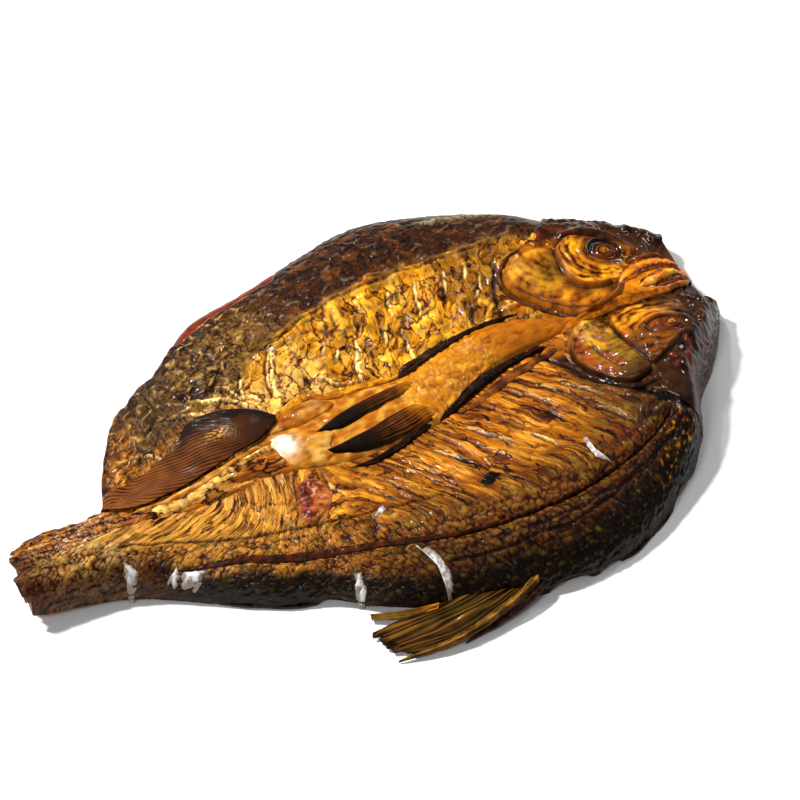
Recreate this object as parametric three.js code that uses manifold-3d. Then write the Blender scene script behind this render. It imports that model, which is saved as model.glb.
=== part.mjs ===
// A dried bream, split along its back and opened flat like a book, lying with its skin side up.
// Millimetres, +Z up. The tail points to -X and the head to +X. The belly runs along the middle,
// with the near flank at -Y and the far flank at +Y. The whole fish is one solid.
import * as THREE from 'three';
import { mergeVertices } from 'three/addons/utils/BufferGeometryUtils.js';
import Module from 'manifold-3d';

// Length of the fish, from the chopped end of its tail stalk to its snout
const TAIL_X = -181;
const SNOUT_X = 142.5;

// Lines along the fish, each given by the points [x, y] that its shape needs
const NEAR_EDGE = [
  [-181, -33], [-160, -36], [-146, -39.5], [-132, -46.5], [-97, -71.5], [-77, -81], [-57, -97.5],
  [-30, -109.5], [0, -118.5], [20, -119.5], [38, -117], [55, -110.5], [78, -97], [92.5, -83],
  [104, -65.5], [119.5, -52], [134, -37.5], [142.5, -27],
];
const FAR_EDGE = [
  [-181, -8], [-172, -3], [-160, -1], [-150, -3], [-141, -5], [-133, 4], [-126, 19], [-112, 41],
  [-97, 53], [-84, 60], [-70, 71], [-56, 80], [-30, 85], [0, 92], [22, 97], [40, 96], [64, 87],
  [80, 77], [98, 61], [112, 51.5], [125, 43], [134, 34.5], [142.5, 26],
];
const LATERAL_LINE = [
  [-181, -27], [-150, -33], [-123, -47], [-103, -55], [-85, -64], [-60, -73], [-20, -88],
  [10, -92], [40, -90], [78, -77], [104, -50], [131, -29], [142.5, -20],
];
const LOWER_GROOVE = [
  [-181, -22], [-150, -21], [-130, -20], [-100, -24], [-70, -22], [-40, -29], [0, -28.5],
  [28, -17], [42, -12], [80, -11.5], [97, -13.5], [106, -15], [116, -15.5], [128, -12], [142.5, -9],
];
const UPPER_GROOVE = [
  [-181, -16], [-150, -11], [-139, -9], [-115, -13], [-90, -8], [-66, -3], [-55, 4], [-40, 9],
  [0, 1], [20, 6], [40, 9], [60, 5], [80, -8], [95, -8], [110, -1], [142.5, 3],
];
const RIDGE_LINE = [
  [-181, -12], [-140, -7], [-125, 5], [-100, 20], [-75, 30], [-35, 43], [0, 50.5], [20, 51],
  [60, 46], [80, 42], [110, 33], [125, 27], [142.5, 16],
];

// Heights along the fish, each given by points [x, z]
const NEAR_CROWN = [
  [-181, 15], [-150, 17], [-60, 16], [0, 18], [55, 18.5], [84, 22.5], [104, 24], [120, 20], [142.5, 11.5],
];
const FAR_CROWN = [
  [-181, 14], [-148, 15], [-134, 7], [-100, 9.5], [-60, 13], [-20, 16], [30, 17], [60, 19],
  [85, 22], [106, 21], [127, 15.5], [142.5, 11.5],
];
const GROOVE_HEIGHT = [
  [-181, 16], [-140, 17], [-100, 15], [-60, 13.5], [-20, 12], [60, 12.5], [85, 16], [110, 17.5], [142.5, 10],
];
const STRIP_BULGE = [
  [-181, 0.5], [-125, 1], [-85, 2.6], [-50, 1], [-10, 3.2], [50, 4], [78, 1.5], [105, 2.5], [142.5, 1],
];
const NEAR_RIM = 1.6;
const FAR_RIM = 4.2;
const TAIL_LIFT = 6;
const TAIL_LIFT_LENGTH = 75;
const NEAR_ROLL = [[-181, 13], [-130, 14], [-60, 23], [10, 27], [70, 26], [105, 20], [142.5, 12]];
const UNDERSIDE_TUCK = 3;

// Relief on the skin
const LATERAL_DEPTH = 1.4;
const LATERAL_HALF_WIDTH = 2;
const RIDGE_HEIGHT = 1.5;
const RIDGE_HALF_WIDTH = 3;
const FOLD_HEIGHT = 0.75;
const EDGE_WAVE = 0.8;
const SOCKETS = [
  { x: 108, y: 15.5, long: 10, wide: 8, depth: 2.2 },
  { x: 104.5, y: -37, long: 10, wide: 7.5, depth: 2.2 },
];
const WOUNDS = [
  { x: -79, y: 37, long: 11, wide: 5, depth: 1.6 },
  { x: -63, y: -41, long: 9, wide: 9, depth: 1.4 },
  { x: -38, y: 45, long: 6, wide: 4, depth: 2 },
  { x: -132, y: -17, long: 7, wide: 5, depth: 1 },
];

// Cells of the body's grid: along the fish, and across each band between two lines
const COLUMNS = 76;
const HEAD_CROWDING = 0.18;
const BAND_ROWS = [6, 6, 4, 7, 7];

const wasm = await Module();
wasm.setup();

const clamp = THREE.MathUtils.clamp;
const smoothstep = THREE.MathUtils.smoothstep;
const lerp = THREE.MathUtils.lerp;

// A smooth curve through points whose first number rises
function through(points) {
  const last = points.length - 1;
  const slopes = points.map((point, i) => {
    const before = points[Math.max(i - 1, 0)];
    const after = points[Math.min(i + 1, last)];
    return (after[1] - before[1]) / (after[0] - before[0]);
  });
  return (x) => {
    let i = 0;
    while (i < last - 1 && x > points[i + 1][0]) i += 1;
    const [x0, y0] = points[i];
    const [x1, y1] = points[i + 1];
    const span = x1 - x0;
    const t = clamp((x - x0) / span, 0, 1);
    const rise = t * t * (3 - 2 * t);
    return lerp(y0, y1, rise) + span * t * (1 - t) * ((1 - t) * slopes[i] - t * slopes[i + 1]);
  };
}

const nearEdge = through(NEAR_EDGE);
const farEdge = through(FAR_EDGE);
const lateralLine = through(LATERAL_LINE);
const lowerGroove = through(LOWER_GROOVE);
const upperGroove = through(UPPER_GROOVE);
const ridgeLine = through(RIDGE_LINE);
const nearCrown = through(NEAR_CROWN);
const farCrown = through(FAR_CROWN);
const grooveHeight = through(GROOVE_HEIGHT);
const stripBulge = through(STRIP_BULGE);
const nearRoll = through(NEAR_ROLL);

// 1 between two ends, falling to 0 over a fade on either side
const between = (x, start, end, fade) => smoothstep(x, start - fade, start) * (1 - smoothstep(x, end, end + fade));
const bump = (distance, halfWidth) => Math.exp(-((distance / halfWidth) ** 2));
const rounded = (s, power) => (1 - (1 - s) ** power) ** (1 / power);

// How far the stiff tail end stands off the surface that the fish lies on
const lift = (x) => TAIL_LIFT * clamp((TAIL_X + TAIL_LIFT_LENGTH - x) / TAIL_LIFT_LENGTH, 0, 1) ** 2;

function oval(x, y, spot) {
  return bump(Math.hypot((x - spot.x) / spot.long, (y - spot.y) / spot.wide), 0.7);
}

// Slack folds of the far flank's skin, which run down towards the belly
function folds(x, y) {
  const across = y - upperGroove(x);
  const width = ridgeLine(x) - upperGroove(x);
  const inside = smoothstep(across, 0, 8) * (1 - smoothstep(across, width - 4, width + 10));
  const wave = Math.sin((x - 0.45 * y) / 2.6 + 1.4 * Math.sin(y / 9)) + 0.6 * Math.sin((x + 0.7 * y) / 4.3);
  return FOLD_HEIGHT * wave * inside * between(x, -110, 50, 15);
}

// Height of the skin over the fish's own underside
function thickness(x, y) {
  const groove = grooveHeight(x);
  if (y < lowerGroove(x)) {
    const width = lowerGroove(x) - nearEdge(x);
    const inward = clamp(y - nearEdge(x), 0, width);
    const roll = Math.min(nearRoll(x), 0.75 * width);
    const crown = lerp(NEAR_RIM, nearCrown(x), rounded(Math.min(inward / roll, 1), 2));
    return lerp(crown, groove, smoothstep((inward - roll) / (width - roll), 0.2, 1));
  }
  if (y > upperGroove(x)) {
    const width = farEdge(x) - upperGroove(x);
    const inward = clamp(farEdge(x) - y, 0, width);
    const roll = farEdge(x) - ridgeLine(x);
    const crown = lerp(FAR_RIM, farCrown(x), rounded(Math.min(inward / roll, 1), 1.6));
    return lerp(crown, groove, smoothstep((inward - roll) / (width - roll), 0.15, 1));
  }
  const t = (y - lowerGroove(x)) / (upperGroove(x) - lowerGroove(x));
  return groove + stripBulge(x) * 4 * t * (1 - t);
}

function skin(x, y) {
  let z = lift(x) + thickness(x, y) + folds(x, y);
  z -= LATERAL_DEPTH * bump(y - lateralLine(x), LATERAL_HALF_WIDTH) * between(x, -120, 76, 12);
  z += RIDGE_HEIGHT * bump(y - ridgeLine(x), RIDGE_HALF_WIDTH) * between(x, -40, 72, 12);
  for (const spot of [...SOCKETS, ...WOUNDS]) z -= spot.depth * oval(x, y, spot);
  return z;
}

// A closed solid from vertices and triangles, turned the right way out
function solid(vertices, triangles) {
  const geometry = new THREE.BufferGeometry();
  geometry.setAttribute('position', new THREE.Float32BufferAttribute(vertices.flat(), 3));
  geometry.setIndex(triangles.flat());
  const merged = mergeVertices(geometry, 1e-4);
  const position = merged.getAttribute('position');
  const index = merged.getIndex();
  const corner = (i) => new THREE.Vector3().fromBufferAttribute(position, index.getX(i));
  let volume = 0;
  for (let i = 0; i < index.count; i += 3) volume += corner(i).dot(corner(i + 1).cross(corner(i + 2)));
  const triVerts = Uint32Array.from(index.array);
  if (volume < 0) {
    for (let i = 0; i < triVerts.length; i += 3) [triVerts[i], triVerts[i + 1]] = [triVerts[i + 1], triVerts[i]];
  }
  return new wasm.Manifold(new wasm.Mesh({ numProp: 3, vertProperties: Float32Array.from(position.array), triVerts }));
}

// A closed solid through rings of as many points each, with a fan over the first and the last
function loft(rings) {
  const size = rings[0].length;
  const vertices = rings.flat();
  const triangles = [];
  for (let r = 0; r + 1 < rings.length; r += 1) {
    for (let i = 0; i < size; i += 1) {
      const a = r * size + i;
      const b = r * size + ((i + 1) % size);
      triangles.push([a, b, b + size], [a, b + size, a + size]);
    }
  }
  const fan = (ring, start, flipped) => {
    const centre = vertices.length;
    vertices.push([0, 1, 2].map((axis) => ring.reduce((sum, point) => sum + point[axis], 0) / size));
    for (let i = 0; i < size; i += 1) {
      const next = (i + 1) % size;
      triangles.push(flipped ? [centre, start + next, start + i] : [centre, start + i, start + next]);
    }
  };
  fan(rings[0], 0, true);
  fan(rings[rings.length - 1], (rings.length - 1) * size, false);
  return solid(vertices, triangles);
}

const flatCurve = (points, closed = false) =>
  new THREE.CatmullRomCurve3(points.map(([x, y]) => new THREE.Vector3(x, y, 0)), closed);

// A plate that lies on the skin inside a closed outline: a step at its rim, and a low dome over it
function plate(outline, { step, dome, sides = 20, levels = [0.96, 0.55], sink = 3 }) {
  const rim = flatCurve(outline, true).getPoints(sides).slice(0, sides);
  const centre = rim.reduce((sum, point) => sum.add(point), new THREE.Vector3()).divideScalar(sides);
  const ring = (share, height) => rim.map((point) => {
    const x = lerp(centre.x, point.x, share);
    const y = lerp(centre.y, point.y, share);
    return [x, y, skin(x, y) + height];
  });
  const raised = levels.map((share) => ring(share, step + dome * (1 - share * share)));
  return loft([ring(1, -sink), ring(1, step * 0.5), ...raised]);
}

// A round ridge that lies on the skin along a path
function welt(path, { width, height, sections = 8, sink = 2.5, taper = 0.35 }) {
  const curve = flatCurve(path);
  const rings = [];
  for (let i = 0; i <= sections; i += 1) {
    const s = i / sections;
    const point = curve.getPoint(s);
    const along = curve.getTangent(s);
    const share = Math.max(rounded(clamp(Math.min(s, 1 - s) / taper, 0, 1), 2), 0.25);
    const ground = skin(point.x, point.y);
    const at = (side, up) => [
      point.x - along.y * side * share * width / 2,
      point.y + along.x * side * share * width / 2,
      ground + up,
    ];
    rings.push([at(1, -sink), at(1, 0), at(0.4, height * share), at(-0.4, height * share), at(-1, 0), at(-1, -sink)]);
  }
  return loft(rings);
}

// A fin blade between two margins that run from its root to its tip.
// It stands off the skin by a height that goes from the root's to the tip's, and thins towards the tip.
function blade(upper, lower, { root, tip, thick, sections = 9, across = 5, floor = null }) {
  const one = flatCurve(upper);
  const other = flatCurve(lower);
  const rings = [];
  for (let i = 0; i <= sections; i += 1) {
    const s = i / sections;
    const top = [];
    const under = [];
    for (let j = 0; j <= across; j += 1) {
      const t = j / across;
      const point = one.getPoint(s).lerp(other.getPoint(s), t);
      const ground = floor ? floor(s, t) : skin(point.x, point.y);
      const middle = Math.sin(Math.PI * clamp(t, 0.08, 0.92));
      const height = ground + lerp(root, tip, s) + thick * 0.25 * middle * (1 - s);
      const depth = thick * lerp(1, 0.55, s) * lerp(0.55, 1, middle);
      top.push([point.x, point.y, height]);
      under.unshift([point.x, point.y, height - depth]);
    }
    rings.push([...top, ...under]);
  }
  return loft(rings);
}

// Uneven edge of the skin, and the ragged ends of the tail stalk and the snout
const edgeWave = (x) => EDGE_WAVE * (0.5 * Math.sin(x / 3.3) + 0.7 * Math.sin(x / 11 + 1)) * between(x, -105, 95, 12);
const tailShift = (y) => 0.24 * (y + 33) + 1.6 * Math.sin(y * 1.3) + Math.sin(y * 0.55);
const snoutShift = through([
  [-27, -1], [-24, -5], [-20, -10], [-16, -9.5], [-11, -5.5], [-3, -5], [2, -7], [7, -10], [12, -5], [18, -0.5], [26, 0],
]);

function bodyPoint(u, band, t) {
  const eased = u + HEAD_CROWDING * u * (1 - u);
  const x = lerp(TAIL_X, SNOUT_X, eased);
  const wave = edgeWave(x);
  const lines = [nearEdge(x) + wave, lateralLine(x), lowerGroove(x), upperGroove(x), ridgeLine(x), farEdge(x) - wave];
  const y = lerp(lines[band], lines[band + 1], t);
  const atTail = 1 - smoothstep(x, TAIL_X, TAIL_X + 16);
  const atSnout = smoothstep(x, SNOUT_X - 18, SNOUT_X);
  return [x + atTail * tailShift(y) + atSnout * snoutShift(y), y, skin(x, y)];
}

// The body: a fine grid of skin on top, and a plain underside with cells twice as large
function body() {
  const rowPlaces = BAND_ROWS.flatMap((rows, band) => Array.from({ length: rows }, (unused, i) => [band, i / rows]));
  rowPlaces.push([BAND_ROWS.length - 1, 1]);
  const rows = rowPlaces.length - 1;
  const top = (i, j) => i * (rows + 1) + j;
  const vertices = [];
  for (let i = 0; i <= COLUMNS; i += 1) {
    for (const [band, t] of rowPlaces) vertices.push(bodyPoint(i / COLUMNS, band, t));
  }
  const underStart = vertices.length;
  const underRows = rows / 2;
  const under = (i, j) => underStart + (i / 2) * (underRows + 1) + j / 2;
  for (let i = 0; i <= COLUMNS; i += 2) {
    const first = vertices[top(i, 0)];
    const last = vertices[top(i, rows)];
    for (let j = 0; j <= rows; j += 2) {
      const [x, y] = vertices[top(i, j)];
      const inset = clamp(UNDERSIDE_TUCK / (last[1] - first[1]), 0, 0.3);
      const endTuck = i === 0 ? UNDERSIDE_TUCK : i === COLUMNS ? -UNDERSIDE_TUCK : 0;
      vertices.push([x + endTuck, lerp(y, (first[1] + last[1]) / 2, inset), lift(x)]);
    }
  }
  const triangles = [];
  for (let i = 0; i < COLUMNS; i += 1) {
    for (let j = 0; j < rows; j += 1) {
      const corners = [top(i, j), top(i + 1, j), top(i + 1, j + 1), top(i, j + 1)];
      const [a, b, c, d] = (i + j) % 2 ? corners : [...corners.slice(1), corners[0]];
      triangles.push([a, b, c], [a, c, d]);
    }
  }
  for (let i = 0; i < COLUMNS; i += 2) {
    for (let j = 0; j < rows; j += 2) {
      const [a, b, c, d] = [under(i, j), under(i, j + 2), under(i + 2, j + 2), under(i + 2, j)];
      triangles.push([a, b, c], [a, c, d]);
    }
  }
  const around = [];
  for (let i = 0; i < COLUMNS; i += 1) around.push([i, 0]);
  for (let j = 0; j < rows; j += 1) around.push([COLUMNS, j]);
  for (let i = COLUMNS; i > 0; i -= 1) around.push([i, rows]);
  for (let j = rows; j > 0; j -= 1) around.push([0, j]);
  for (let k = 0; k < around.length; k += 2) {
    const [p, q, r] = [0, 1, 2].map((step) => around[(k + step) % around.length]);
    const [low, lowNext] = [under(...p), under(...r)];
    triangles.push([top(...p), low, top(...q)], [low, lowNext, top(...q)], [lowNext, top(...r), top(...q)]);
  }
  return solid(vertices, triangles);
}

// The head: a gill cover, a cheek, an eye and the skull's edge on either half, with the jaws in the middle
function head() {
  const farGillCover = [[65, 25.5], [70, 29.5], [76, 31], [90, 25], [89.5, 14], [93, 4], [100, -1], [104.5, -5],
    [98.5, -11], [92.5, -12.5], [85, -12], [79, -7], [74, 0], [69, 8], [65, 15.5]];
  const farCheek = [[90, 24], [86, 14.5], [86, 6], [88.5, 1], [95, -2.5], [101, -3.5], [107, -2], [114, 1], [120, 4],
    [121, 12], [117, 20], [108, 25], [98, 27]];
  const nearGillCover = [[67.5, -22], [72, -15], [77, -13], [82, -13.5], [85, -20], [84.5, -30], [84, -42], [85.5, -54],
    [81, -57.5], [75, -57], [70, -53], [67, -46], [64.5, -38], [64.5, -30]];
  const nearCheek = [[87, -26], [91, -17], [97, -17], [105, -18], [114, -19.5], [120, -23], [120, -30], [117, -38],
    [108, -45], [98, -50], [87, -53], [85.5, -44], [86, -35]];
  return [
    plate(farGillCover, { step: 1.6, dome: 2.8 }),
    plate(nearGillCover, { step: 1.6, dome: 2.6 }),
    plate(farCheek, { step: 1.2, dome: 1.4, sides: 18 }),
    plate(nearCheek, { step: 1.2, dome: 1.2, sides: 18 }),
    ...SOCKETS.map(({ x, y }) => eye(x + 2, y)),
    welt([[78, -11], [88, -12], [98, -13], [107, -14.5], [117, -14.5], [128, -11.5], [135, -11]], { width: 5, height: 2.4 }),
    welt([[105, -3], [113, 0.5], [121, 2.5], [129, 2.5], [135, -1]], { width: 7.5, height: 3 }),
    welt([[112, -11], [119, -9], [127, -6], [133, -4.5]], { width: 4.5, height: 2, sections: 6 }),
    welt([[113, 7], [122, 9], [130, 13], [137, 18]], { width: 6, height: 2.2, sections: 6 }),
    welt([[98, 31], [107, 30], [115, 26], [121, 20], [124, 12]], { width: 6, height: 2.6, sections: 8 }),
    welt([[112, -46], [122, -41], [133, -31]], { width: 7, height: 2.6, sections: 6 }),
  ];
}

function eye(x, y) {
  const radius = 5;
  const ring = [0, 1, 2, 3, 4, 5, 6, 7, 8].map((k) => [
    x + radius * Math.cos((k * 2 * Math.PI) / 9),
    y + radius * Math.sin((k * 2 * Math.PI) / 9),
  ]);
  return plate(ring, { step: 2.6, dome: 1.8, sides: 14, levels: [0.85, 0.45] });
}

// The fins: folded pectoral fins along the belly, pelvic fins, the anal fin and the dorsal fin
function fins() {
  const dorsalHeight = (s, t) => lerp(9, 2.6, s) - 3.2 * t * (1 - s);
  return [
    welt([[0, 1.5], [10, 4.5], [30, 8.5], [46, 9.5], [62, 8]], { width: 4.5, height: 3 }),
    welt([[4, -27], [15, -23.5], [30, -18.5], [42, -15.5], [60, -13]], { width: 4.5, height: 3 }),
    welt([[15, -28.5], [28, -24], [42, -20], [54, -17.5]], { width: 4, height: 2, sections: 8 }),
    blade([[2, -3], [-20, -4], [-33, -5.5], [-44, -9]], [[-2, -10], [-20, -12], [-35, -14], [-43, -10]],
      { root: 1.2, tip: 2.6, thick: 3.5 }),
    blade([[-6, -17], [-20, -19], [-34, -19.5], [-44, -20]], [[0, -27], [-20, -29], [-33, -28], [-43, -22]],
      { root: 1.2, tip: 2.6, thick: 3.5 }),
    welt([[-4, -28], [-20, -32.5], [-32, -34.5], [-42, -33]], { width: 4, height: 1.6, sections: 8 }),
    blade([[-55, 4], [-64, 14.5], [-78, 20.5], [-91, 18], [-110, 4], [-133, -2]],
      [[-56, 2], [-68, -3], [-85, -6.5], [-100, -11], [-120, -13], [-138, -8.5]],
      { root: 2, tip: 0.9, thick: 3, sections: 18, across: 4 }),
    blade([[-4, -108], [-30, -107], [-55, -103], [-76, -101]], [[-2, -115], [-25, -121], [-48, -123], [-68, -113]],
      { root: 0, tip: 0, thick: 2, sections: 12, floor: dorsalHeight }),
  ];
}

// Loose folds of membrane: round the vent, along the belly and by the far gill cover
function membranes() {
  return [
    plate([[-64, -5], [-52, -6], [-41, -9], [-37, -15], [-44, -25], [-55, -25], [-63, -19]],
      { step: 0.8, dome: 1, sides: 16, levels: [0.9, 0.5] }),
    welt([[-57, 5], [-47, 8.5], [-38, 10.5], [-31, 6], [-14, 4], [0, 2]], { width: 4, height: 1.6, sections: 12 }),
    plate([[55, 13], [61, 18], [66, 19], [67, 12], [62, 10]], { step: 0.6, dome: 1, sides: 12, levels: [0.8] }),
  ];
}

// Crusts of white salt that lie on the skin
const FLECKS = [
  { x: -39.5, y: -94.5, long: 20, wide: 3.6, turn: 92 },
  { x: -67.5, y: -85, long: 7, wide: 4, turn: 65 },
  { x: -45, y: -61, long: 6, wide: 3.6, turn: 35 },
  { x: 43, y: -78, long: 16, wide: 3, turn: -86 },
  { x: -60, y: -11, long: 10, wide: 6, turn: -55 },
  { x: -141, y: -38.2, long: 5, wide: 3.4, turn: 70 },
  { x: -120.5, y: -49.8, long: 9, wide: 4, turn: -35 },
  { x: -38, y: 39, long: 6, wide: 3.4, turn: 20 },
  { x: -46, y: 24, long: 14, wide: 3.8, turn: 95 },
];

function fleck({ x, y, long, wide, turn }, number) {
  const angle = THREE.MathUtils.degToRad(turn);
  const ring = [];
  for (let k = 0; k < 8; k += 1) {
    const around = (k * Math.PI) / 4;
    const uneven = 1 + 0.16 * Math.sin(k * 2.4 + number);
    const along = 0.5 * long * Math.cos(around) * uneven;
    const aside = 0.5 * wide * Math.sin(around) * uneven;
    ring.push([x + along * Math.cos(angle) - aside * Math.sin(angle), y + along * Math.sin(angle) + aside * Math.cos(angle)]);
  }
  return plate(ring, { step: 0.5, dome: 0.4, sides: 8, levels: [0.75], sink: 1.5 });
}

// The triangles of a mesh's largest shell, so that a gap that the joining has closed in is filled
function largestShell(triVerts, count) {
  const parent = Array.from({ length: count }, (unused, i) => i);
  const root = (i) => {
    let at = i;
    while (parent[at] !== at) {
      parent[at] = parent[parent[at]];
      at = parent[at];
    }
    return at;
  };
  for (let i = 0; i < triVerts.length; i += 3) {
    parent[root(triVerts[i])] = root(triVerts[i + 1]);
    parent[root(triVerts[i + 1])] = root(triVerts[i + 2]);
  }
  const sizes = new Map();
  for (let i = 0; i < triVerts.length; i += 3) {
    const shell = root(triVerts[i]);
    sizes.set(shell, (sizes.get(shell) ?? 0) + 1);
  }
  const [largest] = [...sizes.entries()].reduce((best, entry) => (entry[1] > best[1] ? entry : best));
  return triVerts.filter((unused, i) => root(triVerts[i - (i % 3)]) === largest);
}

function bream() {
  const pieces = [...head(), ...fins(), ...membranes(), ...FLECKS.map(fleck)];
  const whole = pieces.reduce((sum, piece) => sum.add(piece), body());
  const mesh = whole.getMesh();
  const shell = largestShell(mesh.triVerts, mesh.vertProperties.length / 3);
  const geometry = new THREE.BufferGeometry();
  geometry.setAttribute('position', new THREE.Float32BufferAttribute(mesh.vertProperties, 3));
  geometry.setIndex(new THREE.Uint32BufferAttribute(shell, 1));
  geometry.computeVertexNormals();
  return geometry;
}

const geometry = bream();
geometry.computeBoundingBox();
const { min, max } = geometry.boundingBox;
const material = new THREE.MeshStandardMaterial({ color: 0x8f5a17, roughness: 0.35, metalness: 0 });
const fish = new THREE.Mesh(geometry, material);
fish.name = 'bream';
fish.position.set(-(min.x + max.x) / 2, -(min.y + max.y) / 2, -min.z);

const group = new THREE.Group();
group.add(fish);

export default group;
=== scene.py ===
import math

import bpy
import numpy as np
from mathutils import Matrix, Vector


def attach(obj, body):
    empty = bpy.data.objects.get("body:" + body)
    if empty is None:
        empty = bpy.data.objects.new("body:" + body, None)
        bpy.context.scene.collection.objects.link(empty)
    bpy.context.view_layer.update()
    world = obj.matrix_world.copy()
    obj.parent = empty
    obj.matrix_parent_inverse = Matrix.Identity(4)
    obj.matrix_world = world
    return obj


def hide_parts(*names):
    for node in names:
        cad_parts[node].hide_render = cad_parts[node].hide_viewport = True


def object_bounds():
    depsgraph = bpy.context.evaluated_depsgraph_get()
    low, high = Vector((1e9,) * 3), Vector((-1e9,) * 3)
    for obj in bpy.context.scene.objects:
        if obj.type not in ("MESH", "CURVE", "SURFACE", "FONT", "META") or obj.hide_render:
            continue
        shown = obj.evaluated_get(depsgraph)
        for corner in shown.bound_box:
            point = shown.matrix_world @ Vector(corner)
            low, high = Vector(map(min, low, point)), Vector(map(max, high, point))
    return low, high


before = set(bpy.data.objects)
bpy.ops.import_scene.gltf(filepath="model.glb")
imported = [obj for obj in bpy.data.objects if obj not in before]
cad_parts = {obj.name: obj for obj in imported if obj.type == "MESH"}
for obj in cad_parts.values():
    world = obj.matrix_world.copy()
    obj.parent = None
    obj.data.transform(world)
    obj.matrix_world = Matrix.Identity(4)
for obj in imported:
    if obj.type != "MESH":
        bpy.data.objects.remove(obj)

cad_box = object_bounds()

# A dried bream, split along its back and opened flat, lying with its skin side up.
# It is drawn in millimetres, tail towards -X and head towards +X, with the near flank at -Y.
# Every piece is placed by the same named lines and heights as the solid that it dresses.

MM = 0.001
# The place of the drawing that lies at the origin
MIDDLE_X = -19.595
MIDDLE_Y = -12.849

# Both ends, the thickness at both rims, the tail's rise, the underside's tuck and the outline's wave
TAIL_X = -181.0
SNOUT_X = 142.5
NEAR_RIM = 1.6
FAR_RIM = 4.2
TAIL_LIFT = 6.0
TAIL_LIFT_LENGTH = 75.0
UNDERSIDE_TUCK = 3.0
EDGE_WAVE = 0.8

# Hollows of the eyes and the wounds: place, half length, half width, depth
SOCKETS = [(108, 15.5, 10, 8, 2.2), (104.5, -37, 10, 7.5, 2.2)]
WOUNDS = [(-79, 37, 11, 5, 1.6), (-63, -41, 9, 9, 1.4), (-38, 45, 6, 4, 2.0), (-132, -17, 7, 5, 1.0)]


def mix(a, b, t):
    return a + (b - a) * t


def smooth(x, start, end):
    t = np.clip((x - start) / (end - start), 0, 1)
    return t * t * (3 - 2 * t)


def between(x, start, end, fade):
    return smooth(x, start - fade, start) * (1 - smooth(x, end, end + fade))


def bump(distance, half_width):
    return np.exp(-((distance / half_width) ** 2))


def rounded(s, power):
    return (1 - (1 - s) ** power) ** (1 / power)


def through(points):
    """A smooth curve through points whose first number rises."""
    xs, ys = np.array(points, float).T
    last = len(xs) - 1
    before = np.maximum(np.arange(last + 1) - 1, 0)
    after = np.minimum(np.arange(last + 1) + 1, last)
    slopes = (ys[after] - ys[before]) / (xs[after] - xs[before])

    def curve(x):
        i = np.clip(np.searchsorted(xs, x, side="left") - 1, 0, last - 1)
        span = xs[i + 1] - xs[i]
        t = np.clip((x - xs[i]) / span, 0, 1)
        ease = t * t * (3 - 2 * t)
        return mix(ys[i], ys[i + 1], ease) + span * t * (1 - t) * ((1 - t) * slopes[i] - t * slopes[i + 1])

    return curve


# Lines along the fish, as points (x, y)
near_edge = through([
    (-181, -33), (-160, -36), (-146, -39.5), (-132, -46.5), (-97, -71.5), (-77, -81), (-57, -97.5),
    (-30, -109.5), (0, -118.5), (20, -119.5), (38, -117), (55, -110.5), (78, -97), (92.5, -83), (104, -65.5),
    (119.5, -52), (134, -37.5), (142.5, -27),
])
far_edge = through([
    (-181, -8), (-172, -3), (-160, -1), (-150, -3), (-141, -5), (-133, 4), (-126, 19), (-112, 41), (-97, 53),
    (-84, 60), (-70, 71), (-56, 80), (-30, 85), (0, 92), (22, 97), (40, 96), (64, 87), (80, 77), (98, 61),
    (112, 51.5), (125, 43), (134, 34.5), (142.5, 26),
])
lateral_line = through([
    (-181, -27), (-150, -33), (-123, -47), (-103, -55), (-85, -64), (-60, -73), (-20, -88), (10, -92),
    (40, -90), (78, -77), (104, -50), (131, -29), (142.5, -20),
])
lower_groove = through([
    (-181, -22), (-150, -21), (-130, -20), (-100, -24), (-70, -22), (-40, -29), (0, -28.5), (28, -17),
    (42, -12), (80, -11.5), (97, -13.5), (106, -15), (116, -15.5), (128, -12), (142.5, -9),
])
upper_groove = through([
    (-181, -16), (-150, -11), (-139, -9), (-115, -13), (-90, -8), (-66, -3), (-55, 4), (-40, 9), (0, 1),
    (20, 6), (40, 9), (60, 5), (80, -8), (95, -8), (110, -1), (142.5, 3),
])
ridge_line = through([
    (-181, -12), (-140, -7), (-125, 5), (-100, 20), (-75, 30), (-35, 43), (0, 50.5), (20, 51), (60, 46),
    (80, 42), (110, 33), (125, 27), (142.5, 16),
])
black_border = through([
    (-181, -30), (-140, -35.5), (-110, -56), (-80, -72), (-50, -92), (-21, -103), (20, -107), (50, -99),
    (80, -84), (100, -56), (114, -40), (127, -28), (142.5, -16),
])
SEPTUM = [(-140, -28), (-120, -36), (-100, -46), (-75, -53), (-45, -60), (-20, -66)]

# Heights along the fish, as points (x, z)
near_crown = through([
    (-181, 15), (-150, 17), (-60, 16), (0, 18), (55, 18.5), (84, 22.5), (104, 24), (120, 20), (142.5, 11.5),
])
far_crown = through([
    (-181, 14), (-148, 15), (-134, 7), (-100, 9.5), (-60, 13), (-20, 16), (30, 17), (60, 19), (85, 22),
    (106, 21), (127, 15.5), (142.5, 11.5),
])
groove_height = through([
    (-181, 16), (-140, 17), (-100, 15), (-60, 13.5), (-20, 12), (60, 12.5), (85, 16), (110, 17.5),
    (142.5, 10),
])
strip_bulge = through([
    (-181, 0.5), (-125, 1), (-85, 2.6), (-50, 1), (-10, 3.2), (50, 4), (78, 1.5), (105, 2.5), (142.5, 1),
])
near_roll = through([(-181, 13), (-130, 14), (-60, 23), (10, 27), (70, 26), (105, 20), (142.5, 12)])
snout_bite = through([
    (-27, -1), (-24, -5), (-20, -10), (-16, -9.5), (-11, -5.5), (-3, -5), (2, -7), (7, -10), (12, -5),
    (18, -0.5), (26, 0),
])


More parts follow.
